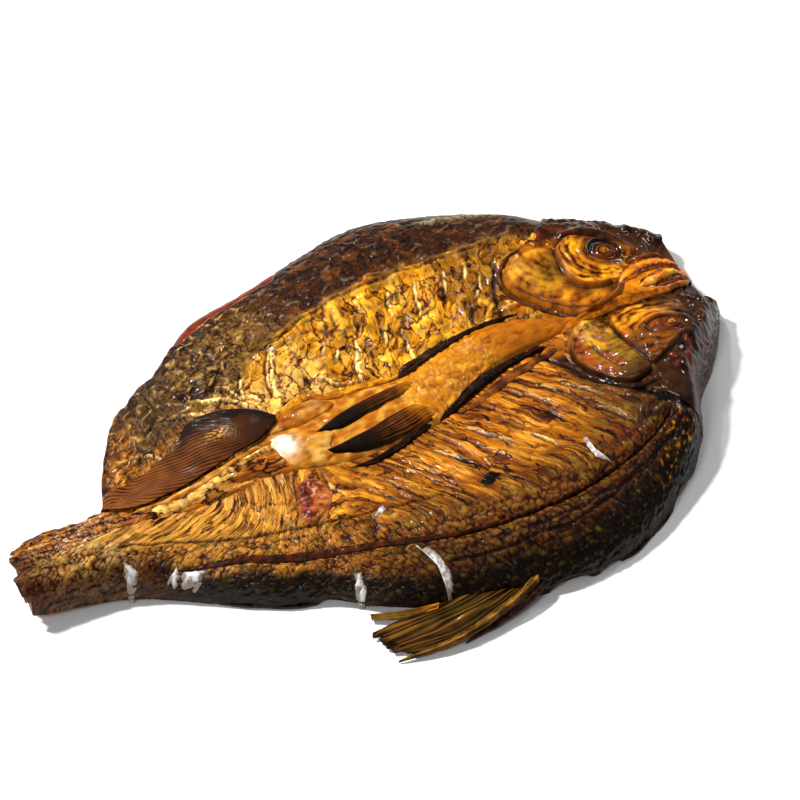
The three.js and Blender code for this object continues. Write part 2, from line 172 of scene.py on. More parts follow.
# Unevenness: smooth noise, cells like scale pockets, and distances to drawn lines
NOISE_CELLS = 64
ANGLES = np.random.default_rng(11).uniform(0, 2 * math.pi, (NOISE_CELLS, NOISE_CELLS))
JITTER = np.random.default_rng(12).uniform(-0.32, 0.32, (NOISE_CELLS, NOISE_CELLS, 2))
FAR_AWAY = 99.0


def grain(x, y, layer):
    """Noise from about -1 to 1 whose features are one unit across."""
    xi = np.floor(x).astype(int)
    yi = np.floor(y).astype(int)
    fx = x - xi
    fy = y - yi

    def corner(i, j):
        angle = ANGLES[(xi + i + 7 * layer) % NOISE_CELLS, (yi + j + 13 * layer) % NOISE_CELLS]
        return np.cos(angle) * (fx - i) + np.sin(angle) * (fy - j)

    u = fx * fx * fx * (fx * (6 * fx - 15) + 10)
    v = fy * fy * fy * (fy * (6 * fy - 15) + 10)
    low = mix(corner(0, 0), corner(1, 0), u)
    high = mix(corner(0, 1), corner(1, 1), u)
    return 1.5 * mix(low, high, v)


def mottle(x, y, size, layer):
    """Noise whose features are size millimetres across."""
    return grain(x / size, y / size, layer)


def patches(x, y, size, layer, start, end):
    """Soft patches: 0 where the noise is under start, and 1 where it is over end."""
    return smooth(mottle(x, y, size, layer), start, end)


def pockets(x, y, layer):
    """Rows of cells one unit wide: 0 on the border between two cells, near 1 in the middle of one."""
    yi = np.floor(y).astype(int)
    nearest = np.full(x.shape, FAR_AWAY)
    second = np.full(x.shape, FAR_AWAY)
    for j in (-1, 0, 1):
        row = yi + j
        shifted = x - 0.5 * (row % 2)
        xi = np.floor(shifted).astype(int)
        for i in (-1, 0, 1):
            place = JITTER[(xi + i + 5 * layer) % NOISE_CELLS, (row + 9 * layer) % NOISE_CELLS]
            gap = np.hypot(xi + i + 0.5 + place[..., 0] - shifted, row + 0.5 + place[..., 1] - y)
            second = np.minimum(second, np.maximum(gap, nearest))
            nearest = np.minimum(nearest, gap)
    return np.clip((second - nearest) * 1.6, 0, 1)


def beside(path, x, y, reach=7.0):
    """Signed distance to a path, positive on its left, and the share of the way along it."""
    path = np.array(path, float)
    near = (x > path[:, 0].min() - reach) & (x < path[:, 0].max() + reach)
    near &= (y > path[:, 1].min() - reach) & (y < path[:, 1].max() + reach)
    distance = np.full(x.shape, FAR_AWAY)
    share = np.zeros(x.shape)
    if not near.any():
        return distance, share
    px = x[near]
    py = y[near]
    best = np.full(px.shape, FAR_AWAY)
    side = np.ones(px.shape)
    place = np.zeros(px.shape)
    lengths = np.hypot(*np.diff(path, axis=0).T)
    travelled = 0.0
    for (ax, ay), (bx, by), length in zip(path, path[1:], lengths):
        dx, dy = (bx - ax) / length, (by - ay) / length
        s = np.clip((px - ax) * dx + (py - ay) * dy, 0, length)
        gap = np.hypot(px - ax - s * dx, py - ay - s * dy)
        closer = gap < best
        side = np.where(closer, np.where(dx * (py - ay) - dy * (px - ax) > 0, 1, -1), side)
        place = np.where(closer, travelled + s, place)
        best = np.minimum(best, gap)
        travelled += length
    distance[near] = best * side
    share[near] = place / travelled
    return distance, share


def spline(points, count, closed=False):
    """Points on a smooth curve through the given ones."""
    points = np.array(points, float)
    size = len(points)
    s = np.linspace(0, size if closed else size - 1, count, endpoint=not closed)
    i = np.minimum(np.floor(s).astype(int), size - (1 if closed else 2))
    t = (s - i)[:, None]

    def pick(k):
        return points[k % size] if closed else points[np.clip(k, 0, size - 1)]

    a, b, c, d = pick(i - 1), pick(i), pick(i + 1), pick(i + 2)
    return b + 0.5 * t * (c - a + t * (2 * a - 5 * b + 4 * c - d + t * (3 * (b - c) + d - a)))


def inside(outline, x, y):
    """Distance to a smooth closed outline, positive inside it."""
    path = spline(outline, 6 * len(outline), closed=True)
    best = np.full(x.shape, FAR_AWAY)
    odd = np.zeros(x.shape, bool)
    for (ax, ay), (bx, by) in zip(path, np.roll(path, -1, axis=0)):
        dx, dy = bx - ax, by - ay
        s = np.clip(((x - ax) * dx + (y - ay) * dy) / (dx * dx + dy * dy), 0, 1)
        best = np.minimum(best, np.hypot(x - ax - s * dx, y - ay - s * dy))
        if dy != 0:
            odd ^= ((ay > y) != (by > y)) & (x < ax + (y - ay) * dx / dy)
    return np.where(odd, best, -best)


# The form of the fish
def lift(x):
    return TAIL_LIFT * np.clip((TAIL_X + TAIL_LIFT_LENGTH - x) / TAIL_LIFT_LENGTH, 0, 1) ** 2


def oval(x, y, spot, width=0.7):
    """1 in the middle of a spot, given as (x, y, half length, half width), and 0 away from it."""
    return bump(np.hypot((x - spot[0]) / spot[2], (y - spot[1]) / spot[3]), width)


def folds(x, y):
    """Slack folds of the far flank's skin, which run down towards the belly."""
    across = y - upper_groove(x)
    width = ridge_line(x) - upper_groove(x)
    inner = smooth(across, 0, 8) * (1 - smooth(across, width - 4, width + 10))
    wave = np.sin((x - 0.45 * y) / 2.6 + 1.4 * np.sin(y / 9)) + 0.6 * np.sin((x + 0.7 * y) / 4.3)
    return 0.75 * wave * inner * between(x, -110, 50, 15)


def thickness(x, y):
    low, high, groove = lower_groove(x), upper_groove(x), groove_height(x)
    near_width = low - near_edge(x)
    inward = np.clip(y - near_edge(x), 0, near_width)
    roll = np.minimum(near_roll(x), 0.75 * near_width)
    crown = mix(NEAR_RIM, near_crown(x), rounded(np.minimum(inward / roll, 1), 2))
    near_part = mix(crown, groove, smooth((inward - roll) / (near_width - roll), 0.2, 1))
    far_width = far_edge(x) - high
    inward = np.clip(far_edge(x) - y, 0, far_width)
    roll = far_edge(x) - ridge_line(x)
    crown = mix(FAR_RIM, far_crown(x), rounded(np.minimum(inward / roll, 1), 1.6))
    far_part = mix(crown, groove, smooth((inward - roll) / (far_width - roll), 0.15, 1))
    t = np.clip((y - low) / (high - low), 0, 1)
    strip = groove + strip_bulge(x) * 4 * t * (1 - t)
    return np.where(y < low, near_part, np.where(y > high, far_part, strip))


def skin(x, y):
    """Height of the plain skin, before its fine relief."""
    z = lift(x) + thickness(x, y) + folds(x, y)
    z -= 1.4 * bump(y - lateral_line(x), 2) * between(x, -120, 76, 12)
    z += 1.5 * bump(y - ridge_line(x), 3) * between(x, -40, 72, 12)
    for spot in SOCKETS + WOUNDS:
        z -= spot[4] * oval(x, y, spot)
    return z


def edge_wave(x):
    return EDGE_WAVE * (0.5 * np.sin(x / 3.3) + 0.7 * np.sin(x / 11 + 1)) * between(x, -105, 95, 12)


def ragged_ends(x, y):
    at_tail = 1 - smooth(x, TAIL_X, TAIL_X + 16)
    at_snout = smooth(x, SNOUT_X - 18, SNOUT_X)
    tail_shift = 0.24 * (y + 33) + 1.6 * np.sin(y * 1.3) + np.sin(y * 0.55)
    return x + at_tail * tail_shift + at_snout * snout_bite(y)


# Colours, as sRGB hex values
def linear(code):
    values = np.array([int(code[i:i + 2], 16) / 255 for i in (1, 3, 5)])
    return np.where(values <= 0.04045, values / 12.92, ((values + 0.055) / 1.055) ** 2.4)


GOLD = linear("#bf7f0c")
AMBER = linear("#8f4e07")
STRAW = linear("#b98c42")
BROWN = linear("#532a05")
BARK = linear("#2b1404")
SOOT = linear("#0e0602")
SLATE = linear("#5c421c")
ORANGE = linear("#b96806")
HONEY = linear("#dca53c")
CREAM = linear("#ecca80")
BLOOD = linear("#3c0807")
RUST = linear("#6c2607")
OLIVE = linear("#5f4c10")
ASH = linear("#8f8266")
RUSSET = linear("#4a1d0a")
UMBER = linear("#332408")


def blend(base, colour, weight):
    return base + (colour - base) * np.clip(weight, 0, 1)[..., None]


def paint(x, base, *layers):
    """A base colour with others laid over it, each given as (colour, weight)."""
    tint = np.broadcast_to(base, x.shape + (3,)).copy()
    for colour, weight in layers:
        tint = blend(tint, colour, weight)
    return tint


def dress(tint, relief, flow=None, marks=None):
    """What a piece carries at its points: colour, relief from -1 to 1, which the cured materials turn into
    painted shade and painted highlight, the place along its flow, and how much its cracks and its scales
    show."""
    values = {"tint": tint, "relief": np.clip(relief, -1, 1)}
    for name, pair in (("flow", flow), ("marks", marks)):
        if pair is not None:
            values[name] = np.stack(pair, axis=-1)
    return values


# Meshes
MERGE_WITHIN = 0.002 * MM
INSIDE_BOX = 0.01 * MM
SMOOTH_BELOW = 75
CURVE_STEPS = 400
ROPE_SINK = 1.2


def to_mode(name):
    bpy.ops.object.mode_set(mode=name)


def select_only(*pieces):
    """Selects just these, and makes the last of them the active one."""
    if bpy.context.object and bpy.context.object.mode != "OBJECT":
        to_mode("OBJECT")
    bpy.ops.object.select_all(action="DESELECT")
    for piece in pieces:
        piece.select_set(True)
        bpy.context.view_layer.objects.active = piece


def edit_all():
    to_mode("EDIT")
    bpy.ops.mesh.select_mode(type="VERT")
    bpy.ops.mesh.select_all(action="SELECT")


def store(piece, name, values):
    """A number, a flat place (a, c) or a colour for each vertex."""
    values = np.asarray(values, dtype=np.float32)
    if values.ndim == 1:
        piece.data.attributes.new(name, "FLOAT", "POINT").data.foreach_set("value", values)
        return
    full = np.ones((len(values), 4 if values.shape[1] == 3 else 3), dtype=np.float32)
    full[:, :values.shape[1]] = values
    if values.shape[1] == 3:
        piece.data.attributes.new(name, "FLOAT_COLOR", "POINT").data.foreach_set("color", full.ravel())
    else:
        piece.data.attributes.new(name, "FLOAT_VECTOR", "POINT").data.foreach_set("vector", full.ravel())


def laid_grid(columns, rows, surface, looks):
    """A fine grid moved into place. surface(u, t) gives x, y and z in millimetres."""
    select_only()
    bpy.ops.mesh.primitive_grid_add(x_subdivisions=columns, y_subdivisions=rows, size=1)
    piece = bpy.context.object
    place = np.empty(3 * len(piece.data.vertices))
    piece.data.vertices.foreach_get("co", place)
    u = np.round((place[0::3] + 0.5) * columns) / columns
    t = np.round((place[1::3] + 0.5) * rows) / rows
    x, y, z = surface(u, t)
    moved = np.stack([(x - MIDDLE_X) * MM, (y - MIDDLE_Y) * MM, z * MM], axis=-1)
    piece.data.vertices.foreach_set("co", moved.ravel())
    for name, values in looks(u, t, x, y).items():
        store(piece, name, values)
    return piece, t


def close_mesh():
    edit_all()
    bpy.ops.mesh.fill_holes(sides=0)
    bpy.ops.mesh.select_all(action="SELECT")
    bpy.ops.mesh.normals_make_consistent(inside=False)
    to_mode("OBJECT")


def finish_piece(piece, name, material):
    piece.name = name
    piece.data.name = name
    piece.data.materials.clear()
    piece.data.materials.append(material)
    while piece.data.uv_layers:
        piece.data.uv_layers.remove(piece.data.uv_layers[0])
    place = np.empty(3 * len(piece.data.vertices))
    piece.data.vertices.foreach_get("co", place)
    lowest, highest = (np.array(corner) for corner in cad_box)
    inward = np.clip(place.reshape(-1, 3), lowest, highest - INSIDE_BOX)
    piece.data.vertices.foreach_set("co", inward.ravel())
    piece.data.update()
    select_only(piece)
    bpy.ops.object.shade_smooth_by_angle(angle=math.radians(SMOOTH_BELOW))
    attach(piece, "root")
    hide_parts("bream")


def extrude_rim(depth):
    bpy.ops.mesh.region_to_loop()
    bpy.ops.mesh.extrude_edges_move(TRANSFORM_OT_translate={"value": (0, 0, -depth * MM)})


def sheet(name, material, columns, rows, surface, looks, skirt):
    """A skin laid along the fish: its rim is extruded down, and its hidden underside is bridged."""
    piece, t = laid_grid(columns, rows, surface, looks)
    store(piece, "way", t)
    edit_all()
    extrude_rim(skirt)
    to_mode("OBJECT")
    mesh = piece.data
    way = np.empty(len(mesh.vertices))
    mesh.attributes["way"].data.foreach_get("value", way)
    ends = np.empty(2 * len(mesh.edges), dtype=int)
    mesh.edges.foreach_get("vertices", ends)
    ends = ends.reshape(-1, 2)
    low = (ends >= len(t)).all(axis=1)
    sides = low & ((way[ends] == 0).all(axis=1) | (way[ends] == 1).all(axis=1))
    select_only(piece)
    to_mode("EDIT")
    bpy.ops.mesh.select_mode(type="EDGE")
    bpy.ops.mesh.select_all(action="DESELECT")
    to_mode("OBJECT")
    mesh.edges.foreach_set("select", sides)
    to_mode("EDIT")
    bpy.ops.mesh.bridge_edge_loops()
    to_mode("OBJECT")
    mesh.attributes.remove(mesh.attributes["way"])
    close_mesh()
    finish_piece(piece, name, material)


def disc(name, material, sides, rings, surface, looks, sink):
    """A disc lying on the skin. surface(turn, share) runs round it and from its middle to its rim."""
    piece, _ = laid_grid(sides, rings, lambda u, t: surface(2 * math.pi * u, t),
                         lambda u, t, x, y: looks(2 * math.pi * u, t, x, y))
    edit_all()
    bpy.ops.mesh.remove_doubles(threshold=MERGE_WITHIN)
    bpy.ops.mesh.select_all(action="SELECT")
    extrude_rim(sink)
    to_mode("OBJECT")
    close_mesh()
    finish_piece(piece, name, material)


def tube(name, material, along, around, surface, looks):
    """A rounded or flattened bar. surface(s, turn) runs along it and round it."""
    piece, _ = laid_grid(along, around, lambda u, t: surface(u, 2 * math.pi * t),
                         lambda u, t, x, y: looks(u, 2 * math.pi * t, x, y))
    edit_all()
    bpy.ops.mesh.remove_doubles(threshold=MERGE_WITHIN)
    to_mode("OBJECT")
    close_mesh()
    finish_piece(piece, name, material)


def curve_at(points, s):
    """Place on a smooth path, and its direction, at shares s of the way."""
    fine = spline(points, CURVE_STEPS)
    travelled = np.concatenate([[0], np.cumsum(np.hypot(*np.diff(fine, axis=0).T))])
    share = travelled / travelled[-1]
    place = [np.interp(s, share, fine[:, k]) for k in (0, 1)]
    ahead = [np.interp(np.clip(s + 0.004, 0, 1), share, fine[:, k]) for k in (0, 1)]
    behind = [np.interp(np.clip(s - 0.004, 0, 1), share, fine[:, k]) for k in (0, 1)]
    dx, dy = ahead[0] - behind[0], ahead[1] - behind[1]
    length = np.hypot(dx, dy)
    return place[0], place[1], dx / length, dy / length, travelled[-1]


def rope(name, material, path, width, height, looks, along=110, around=28, ground=None, lines=0):
    """A rounded ridge that lies on the skin. width and height are lists over its length."""
    def profile(values, s):
        return np.interp(s, np.linspace(0, 1, len(values)), values)

    def surface(s, turn):
        px, py, dx, dy, length = curve_at(path, s)
        end = np.maximum(rounded(np.clip(np.minimum(s, 1 - s) * length / 5, 0, 1), 1.5), 0.05)
        side = np.cos(turn)
        ragged = 1 + 0.2 * grain(s * length / 5, 1.4 * np.sign(side), 8)
        ragged += 0.1 * grain(s * length / 2, side, 9)
        half = 0.5 * profile(width, s) * end * ragged
        up = np.sin(turn)
        uneven = 1 + 0.25 * grain(s * length / 4, 1.3 * side, 5)
        uneven += 0.15 * grain(s * length / 1.5, 2.4 * side, 6)
        groove = 0.14 * np.cos(lines * turn) if lines else 0
        x = px - dy * half * side
        y = py + dx * half * side
        base = ground(s, x, y) if ground else skin(x, y) - 0.3
        tall = profile(height, s) * end * uneven
        return x, y, base + np.where(up > 0, up * (tall + groove * end), up * ROPE_SINK)

    def dressed(s, turn, x, y):
        length = curve_at(path, np.array([0.0]))[4]
        values = looks(s, turn, x, y)
        # Painted contact shadow: darker down the sides, where the ridge meets the skin
        values["tint"] = blend(values["tint"], BARK, 0.75 * smooth(np.sin(turn), 0.55, 0.05))
        values["flow"] = np.stack([1.6 * turn, s * length], axis=-1)
        if lines:
            values["relief"] = np.clip(0.5 * values["relief"] + 0.5 * np.cos(lines * turn), -1, 1)
        return values

    tube(name, material, along, around, surface, dressed)


def blade(name, material, upper, lower, height, thick, looks, along=130, across=34, reach=None):
    """A fin between two margins that run from its root to its tip, closed by its own underside."""
    def flat(s, turn):
        t = np.where(turn <= math.pi, turn / math.pi, 2 - turn / math.pi)
        s = np.clip(s * (1 + (reach(t) if reach else 0)), 0, 1)
        ax, ay = curve_at(upper, s)[:2]
        bx, by = curve_at(lower, s)[:2]
        return s, t, mix(ax, bx, t), mix(ay, by, t)

    def surface(s, turn):
        s, t, x, y = flat(s, turn)
        top = height(s, t, x, y)
        edge = np.sin(math.pi * np.clip(t, 0, 1))
        deep = thick * mix(1, 0.5, s) * rounded(np.clip(edge * 1.6, 0, 1), 2)
        return x, y, np.where(turn <= math.pi, top, top - deep)

    def dressed(s, turn, x, y):
        s, t, _, _ = flat(s, turn)
        return looks(s, t, x, y)

    tube(name, material, along, 2 * across, surface, dressed)


# Materials
def add_node(tree, kind, inputs=None, stops=(), **settings):
    """Adds a node with its settings and a ramp's stops. Each input is a value, or a socket to link."""
    node = tree.nodes.new("ShaderNode" + kind)
    for key, value in settings.items():
        setattr(node, key, value)
    for key, value in (inputs or {}).items():
        if isinstance(value, bpy.types.NodeSocket):
            tree.links.new(value, node.inputs[key])
        else:
            node.inputs[key].default_value = value
    for place, colour in stops:
        node.color_ramp.elements.new(place).color = (*colour, 1)
    if stops:
        node.color_ramp.elements.remove(node.color_ramp.elements[0])
        node.color_ramp.elements.remove(node.color_ramp.elements[-1])
    return node


def new_material(name):
    material = bpy.data.materials.new(name)
    material.use_nodes = True
    material.node_tree.nodes.clear()
    return material, material.node_tree


# Painted shade in a hollow and a painted highlight on a crest, as a ramp from the lowest to the highest
# relief
PAINTED_SHADE_AND_HIGHLIGHT = [(0.001, (0.012, 0.005, 0.002)), (0.2, (0.07, 0.032, 0.012)), (0.4, (0.3, 0.235, 0.16)),
          (0.55, (0.5, 0.5, 0.5)), (0.78, (0.72, 0.71, 0.62)), (0.999, (1.0, 0.97, 0.85))]


def cured(name, fibre_mm, stretch, patch_mm, patch_long, scale_mm, roughness, coat, contrast, fibres, cracks,
          specks, bumps, tender=0.0):
    """Fish skin, fin or flesh that was salted, dried and oiled. Its main colour is painted on the piece.
    Its fibres and the patches that it cracked into follow the piece's own flow, its hollows get painted
    shade and its crests a painted highlight, and the oil on it gives a clear film that glints."""
    material, tree = new_material(name)
    place = add_node(tree, "TexCoord").outputs["Object"]
    tint = add_node(tree, "Attribute", attribute_name="tint").outputs["Color"]
    relief = add_node(tree, "Attribute", attribute_name="relief").outputs["Fac"]
    flow = add_node(tree, "Attribute", attribute_name="flow").outputs["Vector"]
    marks = add_node(tree, "Attribute", attribute_name="marks").outputs["Vector"]
    marks = add_node(tree, "SeparateXYZ", {0: marks}).outputs

    # Noise along the flow for the fibres, cells along it for the patches and the scales, and grains of dirt
    strands = add_node(tree, "VectorMath", {0: flow, 1: (1 / fibre_mm, 1 / (fibre_mm * stretch), 1.0)},
                       operation="MULTIPLY").outputs[0]
    fibre = add_node(tree, "TexNoise", {
        "Vector": strands, "Scale": 1.0, "Detail": 4.0, "Roughness": 0.6, "Distortion": 0.35}).outputs[0]
    sway = add_node(tree, "TexNoise", {"Vector": place, "Scale": 1 / (2.6 * MM), "Detail": 3.0})
    laid = add_node(tree, "VectorMath", {0: flow, 1: (1 / patch_mm, 1 / patch_long, 1.0)},
                    operation="MULTIPLY").outputs[0]
    bent = add_node(tree, "VectorMath", {0: sway.outputs["Color"], 1: (1.1, 0.7, 0.0), 2: laid},
                    operation="MULTIPLY_ADD").outputs[0]
    patch = add_node(tree, "TexVoronoi", {"Vector": bent, "Scale": 1.0}, feature="F1").outputs["Color"]
    chance = add_node(tree, "SeparateXYZ", {0: patch}).outputs
    rim = add_node(tree, "TexVoronoi", {"Vector": bent, "Scale": 1.0}, feature="DISTANCE_TO_EDGE").outputs[0]
    cells = add_node(tree, "TexVoronoi", {"Vector": flow, "Scale": 1 / scale_mm},
                     feature="DISTANCE_TO_EDGE").outputs[0]
    speck = add_node(tree, "TexNoise", {"Vector": place, "Scale": 1 / (1.1 * MM), "Detail": 2.0}).outputs[0]

    # Parts of the relief, taken smoothly from one range to another: name, socket, from, to, low, high
    parts = {"relief": relief, "fibre": fibre, "speck": speck,
             "cracks shown": marks["X"], "scales shown": marks["Y"]}
    for part, socket, start, end, low, high in (
            ("shade", chance["X"], 0.0, 1.0, -0.26 * cracks, 0.26 * cracks),
            ("crack", rim, 0.0, 0.13, -1.0 * cracks, 0.0), ("crack here", chance["Y"], 0.2, 0.6, 0.1, 1.0),
            # The lip: a painted highlight along the edge of a crack
            ("lip", rim, 0.1, 0.26, 0.55 * cracks, 0.0), ("lip here", chance["Z"], 0.4, 0.8, 0.0, 1.0),
            ("scale", cells, 0.0, 0.25, -0.55, 0.14), ("dirt", speck, 0.54, 0.68, 0.0, -specks)):
        ends = {"Value": socket, "From Min": start, "From Max": end, "To Min": low, "To Max": high}
        parts[part] = add_node(tree, "MapRange", ends, interpolation_type="SMOOTHSTEP").outputs[0]

    # Put together: the cracks with the painted highlight on their lips and the scale pockets, where they
    # show, then all that gives a hollow painted shade and a crest a painted highlight, then the height of the
    # oil, and under it that of the skin
    for part, operation, *terms in (
            ("crack", "MULTIPLY", "crack", "crack here"), ("lip", "MULTIPLY", "lip", "lip here"),
            ("broken", "ADD", "crack", "lip"), ("broken", "ADD", "shade", "broken"),
            ("broken", "MULTIPLY", "broken", "cracks shown"), ("scale", "MULTIPLY", "scale", "scales shown"),
            ("etched", "ADD", "broken", "scale"),
            ("value", "MULTIPLY_ADD", "relief", 0.5 * contrast, 0.57 - fibres),
            ("value", "MULTIPLY_ADD", "fibre", 2 * fibres, "value"),
            ("value", "ADD", "value", "etched"), ("value", "ADD", "value", "dirt"),
            ("film", "MULTIPLY_ADD", "speck", 0.5, "etched"),
            ("height", "MULTIPLY_ADD", "fibre", 0.6, "film")):
        inputs = {number: parts.get(term, term) for number, term in enumerate(terms)}
        parts[part] = add_node(tree, "Math", inputs, operation=operation).outputs[0]

    depth = add_node(tree, "ValToRGB", {"Fac": parts["value"]}, PAINTED_SHADE_AND_HIGHLIGHT).outputs["Color"]
    shaded = add_node(tree, "Mix", {0: 1.0, 6: tint, 7: depth}, data_type="RGBA",
                      blend_type="MULTIPLY").outputs[2]
    lit = add_node(tree, "VectorMath", {0: shaded, "Scale": 2.0}, operation="SCALE").outputs[0]
    base = add_node(tree, "VectorMath", {0: lit, 1: (0.92, 0.88, 0.84)}, operation="MINIMUM").outputs[0]
    rough = add_node(tree, "MapRange", {
        "Value": parts["value"], "From Min": 0.1, "From Max": 0.9, "To Min": roughness - 0.12,
        "To Max": roughness + 0.12}).outputs[0]

    dented = add_node(tree, "Bump", {
        "Height": parts["height"], "Strength": bumps, "Distance": 0.5 * MM}).outputs[0]
    wet = add_node(tree, "Bump", {
        "Height": parts["film"], "Strength": 0.4 * bumps, "Distance": 0.5 * MM}).outputs[0]
    shader = add_node(tree, "BsdfPrincipled", {
        "Base Color": base, "Roughness": rough, "Normal": dented, "Coat Normal": wet, "IOR": 1.45,
        "Specular IOR Level": 0.05, "Coat Weight": coat, "Coat Roughness": 0.06, "Coat IOR": 1.45,
        "Subsurface Weight": tender, "Subsurface Radius": (1.0, 0.42, 0.12), "Subsurface Scale": 2.2 * MM})
    add_node(tree, "OutputMaterial", {"Surface": shader.outputs[0]})
    return material


def brine_salt():
    """Crusts of dried brine: white, matt and grainy, thin enough at the edges to show the skin's brown."""
    material, tree = new_material("brine_salt_crust")
    place = add_node(tree, "TexCoord").outputs["Object"]
    tint = add_node(tree, "Attribute", attribute_name="tint").outputs["Color"]
    grains = add_node(tree, "TexNoise", {"Vector": place, "Scale": 1 / (0.8 * MM), "Detail": 4.0}).outputs
    shade = add_node(tree, "Mix", {0: 0.5, 6: tint, 7: grains["Color"]}, data_type="RGBA",
                     blend_type="MULTIPLY").outputs[2]
    dented = add_node(tree, "Bump", {"Height": grains[0], "Strength": 0.6, "Distance": 0.3 * MM}).outputs[0]
    shader = add_node(tree, "BsdfPrincipled", {
        "Base Color": shade, "Normal": dented, "Roughness": 0.5, "IOR": 1.5, "Coat Weight": 0.3,
        "Coat Roughness": 0.15})
    add_node(tree, "OutputMaterial", {"Surface": shader.outputs[0]})
    return material


# Flank skin with its scales rubbed away: narrow streaks and scale pockets under a thin film of oil
FLANK = cured("cured_scaled_skin", fibre_mm=0.8, stretch=6, patch_mm=2.3, patch_long=11, scale_mm=3.3,
              roughness=0.55, coat=0.25, contrast=1.15, fibres=0.44, cracks=0.5, specks=0.12, bumps=0.7)
# Skin that crumpled as it dried: wide patches, and the most dirt
BACK = cured("crumpled_cured_skin", fibre_mm=1.2, stretch=2.5, patch_mm=4.2, patch_long=9, scale_mm=2.6,
             roughness=0.5, coat=0.22, contrast=1.0, fibres=0.38, cracks=0.45, specks=0.15, bumps=0.7)
# Thin soft skin of the belly, soaked in oil: the glossiest, and it lets a little light in
STRIP = cured("oiled_belly_skin", fibre_mm=1.8, stretch=3, patch_mm=3.4, patch_long=10, scale_mm=2.1,
              roughness=0.45, coat=0.5, contrast=1.0, fibres=0.28, cracks=0.7, specks=0.05, bumps=0.55,
              tender=0.06)
# Bone with dried skin on it: hard and smooth, with strong darks and lights
HEAD = cured("oiled_gill_cover_bone", fibre_mm=1.3, stretch=8, patch_mm=4.5, patch_long=14, scale_mm=2.0,
             roughness=0.45, coat=0.32, contrast=1.3, fibres=0.28, cracks=0.6, specks=0.03, bumps=0.3,
             tender=0.03)
# Dry fin rays: long fine fibres, with next to no oil
FIN = cured("dried_fin_rays", fibre_mm=0.4, stretch=18, patch_mm=1.2, patch_long=16, scale_mm=2.0,
            roughness=0.5, coat=0.1, contrast=1.2, fibres=0.4, cracks=0.5, specks=0.03, bumps=0.3)
# Flesh dried through: coarse fibres and little contrast
MEAT = cured("cured_flesh", fibre_mm=1.1, stretch=5, patch_mm=3.0, patch_long=8, scale_mm=3.0, roughness=0.5,
             coat=0.2, contrast=0.7, fibres=0.35, cracks=0.5, specks=0.1, bumps=0.5)
SALT = brine_salt()


def down_wall(x, y):
    """Takes places on the steep near rim further out, so that patterns keep their size down the wall."""
    return y - np.maximum(0, 0.75 * near_crown(x) - thickness(x, y)) * smooth(y - lower_groove(x), -8, -16)


def rows_to_rim(t):
    """Sets the rows of a grid closer together where the rim falls away."""
    return t - 0.9 * t * (1 - t) ** 6


# Curled flakes of skin: each is a pale leaf with a dark crack beside it, as (points, width, height)
FAR_FLAKES = [
    ([(20, 45), (17, 38), (14, 30)], 1.6, 1.2), ([(9, 30), (7, 24), (5, 19)], 1.4, 1.0),
    ([(33, 44), (29, 36), (26, 27), (25, 22)], 1.3, 1.1), ([(14, 23), (13, 15), (11, 7)], 1.8, 1.2),
    ([(-8, 22), (-12, 13), (-14, 4)], 2.6, 1.4), ([(-14, 26), (-19, 20)], 1.6, 1.1),
    ([(-18, 30), (-22, 25)], 1.5, 0.9), ([(-4, 30), (-7, 23), (-8, 17)], 1.2, 0.9),
    ([(-36, 40), (-43, 32), (-47, 22), (-48, 14)], 4.2, 1.3), ([(-30, 36), (-33, 30)], 2.2, 1.0),
    ([(-54, 34), (-59, 28), (-60, 20)], 1.6, 1.0), ([(-66, 33), (-61, 23), (-52, 14)], 1.6, 1.0),
    ([(-88, 38), (-76, 31), (-64, 22), (-56, 9)], 2.2, 1.2), ([(-96, 32), (-84, 27), (-74, 22)], 1.6, 1.0),
    ([(46, 42), (42, 34), (38, 28)], 1.2, 0.8), ([(55, 39), (51, 33)], 1.0, 0.7),
    ([(58, 33), (55, 27), (50, 23)], 1.2, 0.8), ([(-112, 20), (-104, 14), (-96, 8)], 1.5, 0.9),
    ([(-28, 17), (-24, 10), (-14, 8)], 1.6, 0.9), ([(-32, 12), (-40, 12), (-50, 9)], 1.3, 0.8),
]
NEAR_FLAKES = [
    ([(53, -36), (57, -43), (61, -49)], 1.6, 1.0), ([(66, -42), (69, -50), (72, -57)], 1.7, 1.0),
    ([(57, -57), (62, -66), (65, -75)], 2.0, 1.2), ([(61, -26), (66, -34)], 1.5, 0.9),
    ([(44, -30), (49, -38), (52, -46)], 1.3, 0.8), ([(-26, -44), (-20, -51)], 1.2, 0.7),
    ([(78, -62), (84, -68)], 1.4, 0.8), ([(34, -28), (40, -36), (46, -48)], 1.2, 0.8),
    ([(-52, -28), (-54, -38), (-51, -48)], 1.2, 0.7), ([(26, -54), (30, -62), (33, -70)], 1.3, 0.8),
    ([(8, -36), (14, -46), (20, -58)], 1.2, 0.7), ([(-10, -40), (-4, -50), (0, -56)], 1.2, 0.7),
]
# Longer cracks in the skin, as (points, width)
FAR_CRACKS = [
    ([(-52, 46), (-40, 43), (-28, 44), (-18, 47)], 0.7), ([(-60, 44), (-66, 36), (-72, 33)], 0.6),
    ([(-6, 46), (-10, 36), (-16, 30)], 0.7), ([(2, 42), (-2, 32), (-4, 26)], 0.6),
    ([(26, 48), (22, 40), (20, 34)], 0.6), ([(48, 24), (44, 16), (42, 11)], 0.7),
    ([(66, 34), (62, 26), (56, 20)], 0.8), ([(-84, 46), (-80, 36), (-70, 28)], 0.6),
    ([(-118, 10), (-110, 17), (-100, 19)], 0.6), ([(-106, 22), (-98, 30), (-92, 36)], 0.7),
]


